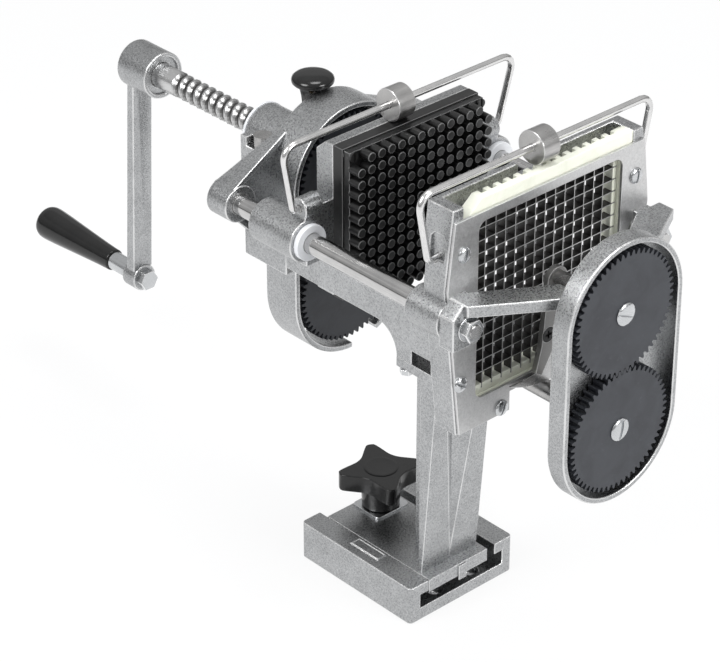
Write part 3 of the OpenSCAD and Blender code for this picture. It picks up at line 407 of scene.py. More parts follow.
class SkinGroup:
    """The shader node group of one skin, with the inputs that a finish sets.

    Attributes:
        tree: The group's tree.
        source: Its inputs: Base, Dark, Bright, the strength of rubbing and painted highlight, Rough and
            the share along each axis.
        place: Place in the object's own axes, in metres.
        edge: How much rubbing and painted highlight the face carries, from 0 to 1.
    """

    def __init__(self, name: str) -> None:
        """Makes the group with its inputs.

        Args:
            name: The group's name.
        """
        self.tree: NodeTree = bpy.data.node_groups.new(name, "ShaderNodeTree")
        for key in ("Base", "Dark", "Bright"):
            self.tree.interface.new_socket(name=key, in_out="INPUT", socket_type="NodeSocketColor")
        for key in ("Wear and highlight", "Rough", *("Across " + axis for axis in AXES)):
            self.tree.interface.new_socket(name=key, in_out="INPUT", socket_type="NodeSocketFloat")
        self.source = self.tree.nodes.new("NodeGroupInput").outputs
        self.place: NodeSocket = add_node(self.tree, "TexCoord").outputs["Object"]
        self.edge: NodeSocket = add_node(self.tree, "Attribute", attribute_name="wear_and_highlight").outputs["Fac"]

    def math(self, operation: str, *values: NodeSocket | float, clamp: bool = False) -> NodeSocket:
        """Adds a sum.

        Args:
            operation: The Math node's operation.
            values: A socket or a number for each of its inputs.
            clamp: Whether the result is kept between 0 and 1.

        Returns:
            The result.
        """
        made = add_node(self.tree, "Math", dict(enumerate(values)), operation=operation, use_clamp=clamp)
        return made.outputs[0]

    def noise(
        self, place: NodeSocket, scale: float, detail: float, rough: float = 0.5, bend: float = 0.0
    ) -> NodeSocket:
        """Adds a noise.

        Args:
            place: Where it is read.
            scale: Waves in a metre.
            detail: Number of finer layers.
            rough: Weight of the finer layers.
            bend: How much it is distorted.

        Returns:
            Its strength.
        """
        links = {"Vector": place, "Scale": scale, "Detail": detail, "Roughness": rough, "Distortion": bend}
        return add_node(self.tree, "TexNoise", links).outputs["Fac"]

    def spread(
        self, value: NodeSocket, low: float, high: float, least: float = 0.0, most: float = 1.0
    ) -> NodeSocket:
        """Maps a range of a value onto another and cuts off the rest.

        Args:
            value: The value.
            low: Where the range begins.
            high: Where it ends.
            least: Result at low.
            most: Result at high.

        Returns:
            The result.
        """
        links = {"Value": value, "From Min": low, "From Max": high, "To Min": least, "To Max": most}
        return add_node(self.tree, "MapRange", links).outputs[0]

    def blend(self, share: NodeSocket, low: NodeSocket, high: NodeSocket) -> NodeSocket:
        """Mixes two colours.

        Args:
            share: Share of the second.
            low: The first colour.
            high: The second colour.

        Returns:
            The mixed colour.
        """
        return add_node(self.tree, "Mix", {0: share, 6: low, 7: high}, data_type="RGBA").outputs[2]

    def close(self, **results: NodeSocket) -> NodeTree:
        """Adds the group's outputs.

        Args:
            results: The socket of each output; the one called Colour carries a colour.

        Returns:
            The group's tree.
        """
        for key in results:
            kind = "NodeSocketColor" if key == "Colour" else "NodeSocketFloat"
            self.tree.interface.new_socket(name=key, in_out="OUTPUT", socket_type=kind)
        sink = self.tree.nodes.new("NodeGroupOutput").inputs
        for key, value in results.items():
            self.tree.links.new(value, sink[key])
        return self.tree


def cast_group() -> NodeTree:
    """Builds the skin of a sand casting: fine grain, soft blotches and bright specks.

    Returns:
        The group's tree.
    """
    g = SkinGroup("cast_skin")
    soft_share, fine_share, speck_share, rough_spread = 0.26, 0.74, 0.35, 0.14
    grain = g.noise(g.place, scale=850.0, detail=4.0, rough=0.8)
    blotch = g.noise(g.place, scale=42.0, detail=5.0, rough=0.62)
    speck = add_node(g.tree, "TexVoronoi", {"Vector": g.place, "Scale": 700.0}).outputs["Distance"]
    fine = g.spread(grain, 0.40, 0.60)
    tone = g.math("MULTIPLY", g.spread(blotch, 0.36, 0.66), soft_share)
    tone = g.math("MULTIPLY_ADD", fine, fine_share, tone)
    body = g.blend(tone, g.source["Dark"], g.source["Base"])
    dots = g.math("MULTIPLY", g.spread(speck, 0.0, 0.25, 1.0, 0.0), speck_share)
    lit = g.blend(dots, body, g.source["Bright"])
    # Marked faces blend toward Bright: partly rubbed edges, partly painted highlight.
    wear_and_highlight_mask = g.math("MULTIPLY", g.edge, g.spread(blotch, 0.3, 0.5, 0.45))
    wear_and_highlight_mask = g.math("MULTIPLY", wear_and_highlight_mask, g.source["Wear and highlight"])
    return g.close(
        Colour=g.blend(wear_and_highlight_mask, lit, g.source["Bright"]),
        Roughness=g.math("MULTIPLY_ADD", fine, rough_spread, g.source["Rough"]),
        Height=g.math("MULTIPLY_ADD", blotch, 0.5, grain),
    )


def brushed_group() -> NodeTree:
    """Builds the skin of ground or brushed metal: fine lines along one axis and faint smears.

    Returns:
        The group's tree.
    """
    g = SkinGroup("brushed_skin")
    line_share, smear_share, rough_spread = 0.55, 0.6, 0.16
    across = add_node(g.tree, "CombineXYZ", {axis: g.source["Across " + axis] for axis in AXES}).outputs[0]
    along = add_node(g.tree, "VectorMath", {0: g.place, 1: across}, operation="MULTIPLY").outputs[0]
    lines = g.noise(along, scale=1600.0, detail=4.0, rough=0.6)
    smear = g.noise(g.place, scale=60.0, detail=4.0, rough=0.55)
    tone = g.math("MULTIPLY_ADD", smear, smear_share, g.math("MULTIPLY", lines, line_share))
    body = g.blend(g.spread(tone, 0.38, 0.76), g.source["Dark"], g.source["Base"])
    # Marked faces blend toward Bright: partly rubbed edges, partly painted highlight.
    wear_and_highlight_mask = g.math("MULTIPLY", g.edge, g.source["Wear and highlight"])
    return g.close(
        Colour=g.blend(wear_and_highlight_mask, body, g.source["Bright"]),
        Roughness=g.math("MULTIPLY_ADD", smear, rough_spread, g.source["Rough"]),
        Height=lines,
    )


def moulded_group() -> NodeTree:
    """Builds the skin of moulded plastic: flow marks, faint scuffs and orange peel.

    Returns:
        The group's tree.
    """
    g = SkinGroup("moulded_skin")
    scuff_share, rough_spread = 0.35, 0.12
    flow = g.noise(g.place, scale=70.0, detail=6.0, rough=0.6, bend=0.6)
    peel = g.noise(g.place, scale=900.0, detail=2.0)
    scuff = g.noise(g.place, scale=260.0, detail=5.0, rough=0.7)
    body = g.blend(g.spread(flow, 0.35, 0.6), g.source["Dark"], g.source["Base"])
    marks = g.spread(scuff, 0.6, 0.75, 0.0, scuff_share)
    # Marked faces blend toward Bright, partly rubbed edges and partly painted highlight, with scuff marks
    # added.
    wear_and_highlight_mask = g.math("MULTIPLY", g.edge, g.source["Wear and highlight"])
    wear_and_highlight_mask = g.math("ADD", wear_and_highlight_mask, marks, clamp=True)
    wear_and_highlight_mask = g.math("MULTIPLY", wear_and_highlight_mask, g.source["Wear and highlight"])
    return g.close(
        Colour=g.blend(wear_and_highlight_mask, body, g.source["Bright"]),
        Roughness=g.math("MULTIPLY_ADD", flow, rough_spread, g.source["Rough"]),
        Height=peel,
    )


@dataclass(frozen=True)
class Finish:
    """One finish of the object.

    Attributes:
        name: The material's name.
        slot: Name of a material slot; not used.
        skin: The surface structure.
        base: Main colour.
        dark: Colour of the noise's blotches and grain; on the thread and the grid it is painted shade.
        bright: Colour of the specks and of the marked faces, partly rubbed edges and partly painted
            highlight.
        rough: Least roughness.
        metallic: 1 for metal, 0 for plastic.
        wear_and_highlight: Strength of the marked faces' bright colour, partly rubbed edges and partly
            painted highlight.
        bump: Strength of the relief.
        depth: Height of the relief, in millimetres.
        across: Share of the brushing's detail along X, Y and Z.
    """

    name: str
    slot: str
    skin: Skin
    base: Colour
    dark: Colour
    bright: Colour
    rough: float
    metallic: float = 1.0
    wear_and_highlight: float = 0.7
    bump: float = 0.4
    depth: float = 0.05
    across: Point = (1.0, 1.0, 1.0)

    def material(self, groups: dict[Skin, NodeTree]) -> Material:
        """Builds the node material of this finish.

        Args:
            groups: The node group of each skin.

        Returns:
            The material.
        """
        made = bpy.data.materials.new(self.name)
        made.use_nodes = True
        tree = made.node_tree
        shader = tree.nodes["Principled BSDF"]
        skin = tree.nodes.new("ShaderNodeGroup")
        skin.node_tree = groups[self.skin]
        for key, value in (("Base", self.base), ("Dark", self.dark), ("Bright", self.bright)):
            skin.inputs[key].default_value = (*value, 1.0)
        skin.inputs["Wear and highlight"].default_value = self.wear_and_highlight
        skin.inputs["Rough"].default_value = self.rough
        for axis, share in zip(AXES, self.across):
            skin.inputs["Across " + axis].default_value = share
        tree.links.new(skin.outputs["Colour"], shader.inputs["Base Color"])
        tree.links.new(skin.outputs["Roughness"], shader.inputs["Roughness"])
        relief = add_node(
            tree, "Bump",
            {"Strength": self.bump, "Distance": self.depth * MM, "Height": skin.outputs["Height"]},
        )
        tree.links.new(relief.outputs["Normal"], shader.inputs["Normal"])
        shader.inputs["Metallic"].default_value = self.metallic
        made.diffuse_color = (*self.base, 1.0)
        return made


def grey(value: float, warm: float = 0.0) -> Colour:
    """Gives a grey, warmer or cooler by a share.

    Args:
        value: Linear lightness.
        warm: Positive for a warmer grey.

    Returns:
        The colour.
    """
    return (value * (1 + warm), value, value * (1 - warm))


CAST = Finish(
    "cast_aluminium", "cast_aluminium", Skin.CAST,
    grey(0.57, -0.012), grey(0.30, -0.02), grey(0.88), rough=0.24, bump=1.0, depth=0.13,
)
SHEET = Finish(
    "sheet_steel", "sheet_steel", Skin.CAST,
    grey(0.72), grey(0.56), grey(0.92), rough=0.32, bump=0.3,
)
ROD = Finish(
    "polished_rod", "polished_steel", Skin.BRUSHED,
    grey(0.66, 0.01), grey(0.50), grey(0.9), rough=0.06, bump=0.05, across=(1.0, 0.05, 1.0),
)
WIRE = Finish(
    "bright_wire", "polished_steel", Skin.BRUSHED,
    grey(0.84, 0.01), grey(0.68), grey(0.92), rough=0.14, bump=0.08, across=(0.1, 1.0, 0.2),
)
ROLLER = Finish(
    "roller_steel", "polished_steel", Skin.BRUSHED,
    grey(0.56, 0.015), grey(0.42, 0.01), grey(0.9), rough=0.22, bump=0.08, across=(0.1, 1.0, 1.0),
)
SCREW = Finish(
    "screw_steel", "polished_steel", Skin.BRUSHED,
    grey(0.56, 0.015), grey(0.34, 0.01), grey(0.9), rough=0.20, bump=0.1, across=(1.0, 0.3, 1.0),
)
# Dark colours paint the shade in the thread's valleys; the bright colour on the ridges is a painted
# highlight.
THREAD_PAINTED_LIGHT = Finish(
    "rolled_thread_painted_light", "polished_steel", Skin.BRUSHED,
    grey(0.12, 0.02), grey(0.07, 0.01), grey(0.66), rough=0.22, wear_and_highlight=1.0, bump=0.1,
)
ZINC = Finish(
    "bright_zinc", "zinc_steel", Skin.BRUSHED,
    grey(0.70, -0.02), grey(0.52, -0.02), grey(0.95), rough=0.16, bump=0.08,
)
BLADE = Finish(
    "blade_steel", "blade_steel", Skin.BRUSHED,
    grey(0.66), grey(0.50), grey(0.95), rough=0.20, bump=0.1, across=(0.2, 1.0, 1.0),
)
# Blade steel painted dark as the shade inside the grid's cells; its front faces take the bright colour as
# a painted highlight.
GRID_PAINTED_LIGHT = Finish(
    "grid_steel_painted_light", "blade_steel", Skin.BRUSHED,
    grey(0.13, 0.02), grey(0.07, 0.02), grey(0.62), rough=0.42, wear_and_highlight=0.9, bump=0.1,
)
KNIFE = Finish(
    "knife_steel", "blade_steel", Skin.BRUSHED,
    grey(0.40, 0.015), grey(0.30, 0.01), grey(0.85), rough=0.36, bump=0.2,
)
OXIDE = Finish(
    "black_oxide", "dark_steel", Skin.BRUSHED,
    grey(0.09), grey(0.05), grey(0.3), rough=0.35, bump=0.1,
)
NYLON = Finish(
    "cream_nylon", "white_nylon", Skin.MOULDED,
    (0.84, 0.85, 0.74), (0.78, 0.79, 0.67), (0.93, 0.94, 0.86),
    rough=0.38, metallic=0.0, wear_and_highlight=0.3, bump=0.15, depth=0.03,
)
BUSH = Finish(
    "white_nylon", "white_nylon", Skin.MOULDED,
    (0.80, 0.81, 0.83), (0.72, 0.73, 0.75), (0.95, 0.95, 0.95),
    rough=0.36, metallic=0.0, wear_and_highlight=0.3, bump=0.12, depth=0.03,
)
GLOSS = Finish(
    "black_phenolic", "black_plastic", Skin.MOULDED,
    grey(0.008), grey(0.005), grey(0.04), rough=0.10, metallic=0.0, wear_and_highlight=0.2, bump=0.04, depth=0.02,
)
PINS = Finish(
    "black_nylon", "black_nylon", Skin.MOULDED,
    grey(0.009), grey(0.005), grey(0.16), rough=0.24, metallic=0.0, wear_and_highlight=0.9, bump=0.2, depth=0.03,
)
GEAR = Finish(
    "gear_acetal", "gear_plastic", Skin.MOULDED,
    (0.034, 0.037, 0.044), (0.022, 0.024, 0.030), (0.16, 0.165, 0.18),
    rough=0.46, metallic=0.0, wear_and_highlight=0.35, bump=0.2, depth=0.03,
)
BRONZE = Finish(
    "bearing_bronze", "bronze", Skin.BRUSHED,
    (0.55, 0.40, 0.20), (0.38, 0.26, 0.12), (0.8, 0.65, 0.4), rough=0.28, bump=0.1,
)


class Workshop:
    """Holds the built materials and dresses pieces with them."""

    def __init__(self) -> None:
        """Builds the node groups; materials are built when first used."""
        self.groups: dict[Skin, NodeTree] = {
            Skin.CAST: cast_group(),
            Skin.BRUSHED: brushed_group(),
            Skin.MOULDED: moulded_group(),
        }
        self.made: dict[str, Material] = {}

    def paint(self, piece: Object, finish: Finish) -> None:
        """Gives a piece or CAD node one finish.

        Args:
            piece: The object.
            finish: Its finish.
        """
        if finish.name not in self.made:
            self.made[finish.name] = finish.material(self.groups)
        if not piece.data.materials:
            piece.data.materials.append(None)
        for place in piece.material_slots:
            place.link = "OBJECT"
            place.material = self.made[finish.name]

    def keep(self, finish: Finish, *nodes: str) -> None:
        """Shows CAD nodes as they are, with a finish.

        Args:
            finish: Their finish.
            nodes: Their names.
        """
        for node in nodes:
            self.paint(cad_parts[node], finish)
            LOG.info("kept %s", node)

    def mount(self, piece: Object, body: str, finish: Finish, *nodes: str) -> Object:
        """Puts a finished piece on its body, with its finish, in place of CAD nodes.

        Args:
            piece: The new piece, at the origin.
            body: The body that it rides on.
            finish: Its finish.
            nodes: The CAD nodes that it stands for.

        Returns:
            The same piece.
        """
        self.paint(piece, finish)
        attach(piece, body)
        if nodes:
            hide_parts(*nodes)
        LOG.info("built %s on %s", piece.name, body)
        return piece

    def rounded(
        self, node: str, body: str, finish: Finish, width: float, sharp: float = 32.0
    ) -> Object:
        """Rounds a merged copy of a CAD node and puts it in the node's place.

        Args:
            node: The CAD node.
            body: Its body.
            finish: Its finish.
            width: Width of the rounding, in millimetres.
            sharp: Least angle of a rounded edge, in degrees.

        Returns:
            The new piece.
        """
        piece = copy_of(node, node + "_rounded")
        round_edges(piece, width, sharp)
        return self.mount(piece, body, finish, node)


# Sub-assemblies


@dataclass
class Stand:
    """The base, the column and its clamp.

    Attributes:
        pad_low: Lowest corner of the bare name plate, in millimetres.
        pad_high: Highest corner of its foot.
        pad_rim: Width and rise of its slanting edge.
        pad_lip: Width of the lip inside that edge.
        pad_deep: Depth of the field inside the lip.
        knob_x: Place of the clamp knob's axis along X.
        knob_y: Its place along Y.
        knob_low: Height of the lobes' underside.
        knob_top: Height of the lobes' top.
        lobe_reach: Reach of the lobes.
        valley: Least radius between the lobes.
        lobes: Number of lobes.
        lobe_turn: Angle of the first lobe from +X, in degrees.
        blunt: Share of half a lobe's pitch that its blunt end takes.
        sides: Faces round the lobes.
    """

    pad_low: Point = (-38.6, -14.0, 26.9)
    pad_high: Point = (-30.4, 12.0, 27.0)
    pad_rim: float = 0.9
    pad_lip: float = 0.6
    pad_deep: float = 0.4
    knob_x: float = 6.0
    knob_y: float = 31.0
    knob_low: float = 44.0
    knob_top: float = 57.0
    lobe_reach: float = 28.0
    valley: float = 16.5
    lobes: int = 4
    lobe_turn: float = 62.0
    blunt: float = 0.14
    sides: int = 120

    def build(self, shop: Workshop) -> None:
        """Builds and dresses the stand.

        Args:
            shop: Dresses the pieces.
        """
        self.base(shop)
        shop.rounded("column", "stand", CAST, 0.4)
        shop.rounded("clamp_washer", "stand", ZINC, 0.2)
        shop.keep(SCREW, "knob_stud")
        shop.rounded("frame_bolts", "stand", ZINC, 0.3)
        shop.mount(join([self.star(), self.hub()], "star_knob_body"), "clamp", GLOSS, "star_knob")

    def base(self, shop: Workshop) -> None:
        """Rounds the base and adds its bare name plate.

        Args:
            shop: Dresses the pieces.
        """
        base = copy_of("base", "base_casting")
        round_edges(base, 0.6)
        pad = block("name_pad", self.pad_low, self.pad_high)
        choose(pad, lambda face: face.normal.z > FACING)
        for inset, rise in ((self.pad_rim, self.pad_rim), (self.pad_lip, -self.pad_deep)):
            bpy.ops.mesh.inset(thickness=inset * MM, depth=0)
            bpy.ops.transform.translate(value=(0, 0, rise * MM))
        object_mode()
        # The pad's slanting rim takes the bright colour, partly rubbed and partly painted highlight.
        rim = max(vert.co.z for vert in pad.data.vertices) - 0.7 * MM
        mark_wear_and_highlight(pad, lambda face: float(face.center.z > rim and abs(face.normal.z) < 0.99))
        smooth(pad, 20)
        shop.mount(join([base, pad], "base_casting"), "base", CAST, "base")

    def lobe_radius(self, angle: float) -> float:
        """Gives the star's radius at an angle.

        Args:
            angle: In degrees.

        Returns:
            The radius in millimetres.
        """
        droop, curve, hollow = 0.02, 4, 2.3
        half = 180 / self.lobes
        away = abs((angle - self.lobe_turn + half) % (2 * half) - half) / half
        if away < self.blunt:
            return self.lobe_reach * (1 - droop * (away / self.blunt) ** curve)
        share = (away - self.blunt) / (1 - self.blunt)
        return self.valley + ((1 - droop) * self.lobe_reach - self.valley) * (1 - share) ** hollow

    def star(self) -> Object:
        """Models the knob's lobes from a thin rod whose sides are drawn out one by one.

        Returns:
            The piece.
        """
        rod_r, corner, rise = 1.0, 1.3, 0.6
        height = self.knob_top - self.knob_low
        bpy.ops.mesh.primitive_cylinder_add(
            vertices=self.sides, radius=rod_r * MM, depth=height * MM, end_fill_type="NGON",
            location=(self.knob_x * MM, self.knob_y * MM, (self.knob_low + height / 2) * MM),
        )
        star = settle(bpy.context.object, "star_knob_lobes")
        centre = Vector((self.knob_x, self.knob_y)) * MM

        def on_side(place: Vector, middle: float) -> bool:
            """Tells whether a place is on the rod's side at an angle and isn't drawn out yet.

            Args:
                place: A vertex's place.
                middle: The side's angle, in degrees.

            Returns:
                Whether it is.
            """
            arm = place.xy - centre
            turn = (math.degrees(math.atan2(arm.y, arm.x)) - middle + 180) % 360 - 180
            return abs(turn) < 120 / self.sides and arm.length < 1.5 * rod_r * MM

        for step in range(self.sides):
            middle = step * 360 / self.sides
            radius = self.lobe_radius(middle)
            choose(star, lambda vert: on_side(vert.co, middle), "VERT")
            bpy.ops.transform.resize(value=(radius, radius, 1), center_override=(*centre, 0))
            object_mode()
        choose(star, lambda face: abs(face.normal.z) > FACING)
        bpy.ops.mesh.inset(thickness=0.9 * MM, depth=0)
        object_mode()
        choose(star, lambda face: face.normal.z > FACING and (face.center.xy - centre).length < MM)
        bpy.ops.transform.translate(value=(0, 0, -rise * MM))
        object_mode()
        round_edges(star, corner, 40.0, 4)
        return star

    def hub(self) -> Object:
        """Models the knob's conical foot and the low ring on its top.

        Returns:
            The piece.
        """
        foot = [(28.6, 11.4), (29.4, 12.4), (33, 12.6), (40, 12.9)]
        crown = [(-1, 13.0), (-0.9, 11.3), (-0.2, 11.1), (0, 10.6), (-0.1, 9.6), (-0.1, 4)]
        profile = foot + [(self.knob_top + level, radius) for level, radius in crown]
        hub = turned("star_knob_hub", profile, (self.knob_x, self.knob_y, 0), "Z", 72)
        smooth(hub, 40)
        return hub


@dataclass
class Head:
    """The cutting head with its grid, cover plate and front latch.

    Attributes:
        plate_y: The cover plate's front, in millimetres.
        screw_r: Radius of the plate's screw heads.
        screw_h: Height of their domes.
        screw_slot: Width of their slots.
        screw_places: Place along X and Z, and the slot's angle, of each screw.
        side_x: The head's left side.
        arch_y: Front of the arched hollow in that side.
        arch_w: Width of the hollow.
        arch_low: Height of its foot.
        arch_top: Height of its straight part's top.
        arch_crown: Rise of its narrowing top.
        arch_deep: Depth of the hollow.
    """

    plate_y: float = -118.2
    screw_r: float = 5.1
    screw_h: float = 2.4
    screw_slot: float = 1.5
    screw_places: Sequence[tuple[float, float, float]] = (
        (-70.0, 306.0, 12.0), (70.0, 306.0, 8.0), (-71.0, 221.0, -58.0),
        (71.0, 221.0, 25.0), (-37.0, 190.6, 18.0), (37.0, 190.6, 70.0),
    )
    side_x: float = -80.5
    arch_y: float = -113.0
    arch_w: float = 12.0
    arch_low: float = 303.0
    arch_top: float = 315.0
    arch_crown: float = 3.0
    arch_deep: float = 2.6

    def build(self, shop: Workshop) -> None:
        """Builds and dresses the head.

        Args:
            shop: Dresses the pieces.
        """
        head = copy_of("grid_head", "grid_head_casting")
        cut_away(head, self.arch())
        round_edges(head, 0.7)
        shop.mount(head, "stand", CAST, "grid_head")
        shop.rounded("front_plate", "stand", SHEET, 0.25)
        shop.rounded("grid_cassette", "stand", NYLON, 0.5)
        blades = copy_of("grid_blades", "grid_blades_painted_light")
        # The blades' front faces are marked for a painted highlight; their sides keep the dark colour as
        # painted shade.
        mark_wear_and_highlight(blades, lambda face: float(-face.normal.y > FACING))
        shop.mount(blades, "stand", GRID_PAINTED_LIGHT, "grid_blades")
        shop.mount(self.screws(), "stand", ZINC, "plate_screws")
        shop.rounded("front_bail", "front_latch", WIRE, 0.3)
        shop.rounded("front_roller", "front_latch_roller", ROLLER, 0.4)

    def arch(self) -> Object:
        """Models the arched hollow that is cut into the head's left side.

        Returns:
            The cutting tool.
        """
        overrun, narrow = 9.5, 0.55
        tool = block(
            "hook_arch", (self.side_x - overrun, self.arch_y, self.arch_low),
            (self.side_x + self.arch_deep, self.arch_y + self.arch_w, self.arch_top),
        )
        choose(tool, lambda face: face.normal.z > FACING)
        bpy.ops.mesh.extrude_region_move(
            TRANSFORM_OT_translate={"value": (0, 0, self.arch_crown * MM)}
        )
        middle = (self.arch_y + self.arch_w / 2) * MM
        bpy.ops.transform.resize(value=(1, narrow, 1), center_override=(0, middle, 0))
        object_mode()
        return tool

    def screws(self) -> Object:
        """Models the cover plate's domed screws.

        Returns:
            All six as one piece.
        """
        first = slotted_head("plate_screw", self.screw_r, self.screw_h, self.screw_slot)
        heads = []
        for index, (x, z, turn) in enumerate(self.screw_places):
            heads.append(copy_moved(first, f"plate_screw_{index}", (x, self.plate_y, z), turn))
        bpy.data.objects.remove(first)
        return join(heads, "plate_screw_heads")


@dataclass
class Guide:
    """The side walls, guide rods and their bolts."""

    def build(self, shop: Workshop) -> None:
        """Builds and dresses the guides.

        Args:
            shop: Dresses the pieces.
        """
        shop.rounded("side_wall_left", "stand", CAST, 0.6)
        shop.rounded("side_wall_right", "stand", CAST, 0.6)
        shop.keep(ROD, "guide_rod_left", "guide_rod_right")
        shop.keep(GLOSS, "rod_plugs")
        shop.rounded("rod_washers", "stand", ZINC, 0.3)
        shop.rounded("rod_nuts", "stand", ZINC, 0.6)


@dataclass
class Pusher:
    """The sliding carriage, its bushes, pusher plates and rear latch."""

    def build(self, shop: Workshop) -> None:
        """Builds and dresses the pusher.

        Args:
            shop: Dresses the pieces.
        """
        shop.rounded("carriage", "pusher", CAST, 0.8)
        shop.rounded("carriage_bushes", "pusher", BUSH, 0.5)
        shop.rounded("pusher_plate", "pusher", PINS, 0.3)
        # The pins' rounded rims take the bright colour, partly rubbed and partly painted highlight rings.
        shop.rounded("pin_plate", "pusher", PINS, 0.4, 60.0)
        shop.keep(OXIDE, "pusher_screws")
        shop.rounded("rear_bail", "rear_latch", WIRE, 0.3)
        shop.rounded("rear_roller", "rear_latch_roller", ROLLER, 0.4)


@dataclass
class Feed:
    """The feed screw, its nut and the release knob.

    Attributes:
        knob_y: Axis of the release knob, in millimetres.
        stem: Height and radius along its stem and flared neck.
        cap_z: Underside of its cap.
        cap: Height over that underside and radius along the cap.
        axis_z: Height of the feed screw's axis.
        valley_r: Radius of the thread's valleys.
        thread_h: Height of its ridges.
    """

    knob_y: float = 87.5
    stem: Profile = ((278.9, 4), (296.5, 4), (296.6, 6.6), (302, 6.9), (307, 7.5))
    cap_z: float = 315.0
    cap: Profile = (
        (-4, 8.4), (-1.5, 9.9), (-0.4, 11.4), (0, 12.4), (1.0, 13.3), (2.4, 13.5),
        (3.8, 13.1), (5.0, 11.8), (5.9, 9.8), (6.5, 7.0), (6.8, 4.0), (6.9, 1.2),
    )
    axis_z: float = 265.9
    valley_r: float = 6.6
    thread_h: float = 1.7

    def build(self, shop: Workshop) -> None:
        """Builds and dresses the feed.

        Args:
            shop: Dresses the pieces.
        """
        shop.keep(SCREW, "screw_retainer", "nut_pin")
        shop.mount(self.screw(), "crank", THREAD_PAINTED_LIGHT, "feed_screw")
        shop.keep(BUSH, "nut_washer")
        shop.keep(BRONZE, "half_nut")
        shop.mount(self.mushroom(), "release", GLOSS, "release_knob")

    def screw(self) -> Object:
        """Smooths the feed screw's rolled thread and marks its ridges for a painted highlight, its valleys
        keeping the dark painted shade.

        Returns:
            The piece.
        """
        screw = copy_of("feed_screw", "feed_screw_thread")
        axis = Vector((0.0, self.axis_z)) * MM

        def ridge(face: MeshPolygon) -> float:
            """Gives a face's height over the valleys.

            Args:
                face: A face of the thread.

            Returns:
                The height, as a share of a ridge's.
            """
            radius = (face.center.xz - axis).length / MM
            return min(max((radius - self.valley_r) / self.thread_h, 0.0), 1.0)

        # Ridge height sets the painted highlight; the valleys keep the dark colour as painted shade.
        mark_wear_and_highlight(screw, ridge)
        smooth(screw, 60)
        return screw

    def mushroom(self) -> Object:
        """Models the release knob: a stem, a flared neck and a flattened dome.

        Returns:
            The piece.
        """
        profile = [*self.stem, *((self.cap_z + level, radius) for level, radius in self.cap)]
        knob = turned("release_knob_body", profile, (0, self.knob_y, 0), "Z", 72)
        smooth(knob, 50)
        return knob


@dataclass
class Crank:
    """The crank arm and its grip.

    Attributes:
        grip_y: Start of the grip, in millimetres.
        grip_z: Height of the grip's axis.
        grip: Distance from its start and radius along the grip.
        screw_z: Height of the feed screw's axis.
        hub_y: Front of the hub.
        hub_r: Radius of the hub.
        hub_hollow: Distance from the hub's front and radius along its hollow.
        arm_y: Front of the arm at its top.
        arm_lean: How far the arm's front moves back between the axes.
        flute_top: Height of the groove's top.
        flute_low: Height of its end.
        flute_w: Half the groove's width at its top.
        flute_deep: Its depth there.
        flute_end: Its size at the end, as a share of that at the top.
    """

    grip_y: float = 297.4
    grip_z: float = 100.9
    grip: Profile = (
        (0.0, 6.6), (0.5, 7.4), (1.2, 7.7), (12, 8.2), (26, 9.1), (42, 10.2), (56, 11.2),
        (66, 11.8), (71, 12.0), (74, 11.8), (76, 11.1), (77.3, 9.9), (77.9, 8.2), (78.0, 4.0),
    )
    screw_z: float = 265.9
    hub_y: float = 235.4
    hub_r: float = 16.0
    hub_hollow: Profile = ((-1.0, 13.4), (0.0, 13.2), (2.0, 12.6))
    arm_y: float = 257.9
    arm_lean: float = 8.0
    flute_top: float = 254.0
    flute_low: float = 150.0
    flute_w: float = 6.4
    flute_deep: float = 3.2
    flute_end: float = 0.06

    def build(self, shop: Workshop) -> None:
        """Builds and dresses the crank.

        Args:
            shop: Dresses the pieces.
        """
        arm = copy_of("crank_arm", "crank_arm_casting")
        cut_away(arm, self.flute())
        cut_away(arm, turned("hub_tool", self.hub_hollow, (0, self.hub_y, self.screw_z), "Y", 48))
        round_edges(arm, 0.8)
        shop.mount(arm, "crank", CAST, "crank_arm")
        shop.rounded("crank_bolt", "crank", ZINC, 0.5)
        shop.rounded("grip_collar", "crank", ZINC, 0.4)
        grip = turned("grip_body", self.grip, (0, self.grip_y, self.grip_z), "Y", 72)
        smooth(grip, 50)
        shop.mount(grip, "handle", GLOSS, "grip")

    def flute(self) -> Object:
        """Models the tapering groove in the arm's front.

        Returns:
            The cutting tool.
        """
        reach = self.screw_z - self.grip_z
        length = self.flute_top - self.flute_low
        boss = self.hub_r - 3
        start = self.arm_y + self.arm_lean * (self.screw_z - boss - self.flute_top) / reach
        bpy.ops.mesh.primitive_cylinder_add(
            vertices=4, radius=MM, depth=length * MM,
            location=(0, start * MM, (self.flute_top + self.flute_low) / 2 * MM),
        )
        tool = settle(bpy.context.object, "flute_tool")
        for level, share, back in (
            (self.flute_top, 1.0, 0.0),
            (self.flute_low, self.flute_end, self.arm_lean * length / reach),
        ):
            choose(tool, lambda vert: abs(vert.co.z - level * MM) < MM, "VERT")
            bpy.ops.transform.resize(
                value=(self.flute_w * share, self.flute_deep * share, 1),
                center_override=(0, start * MM, level * MM),
            )
            bpy.ops.transform.translate(value=(0, back * MM, 0))
            object_mode()
        return tool


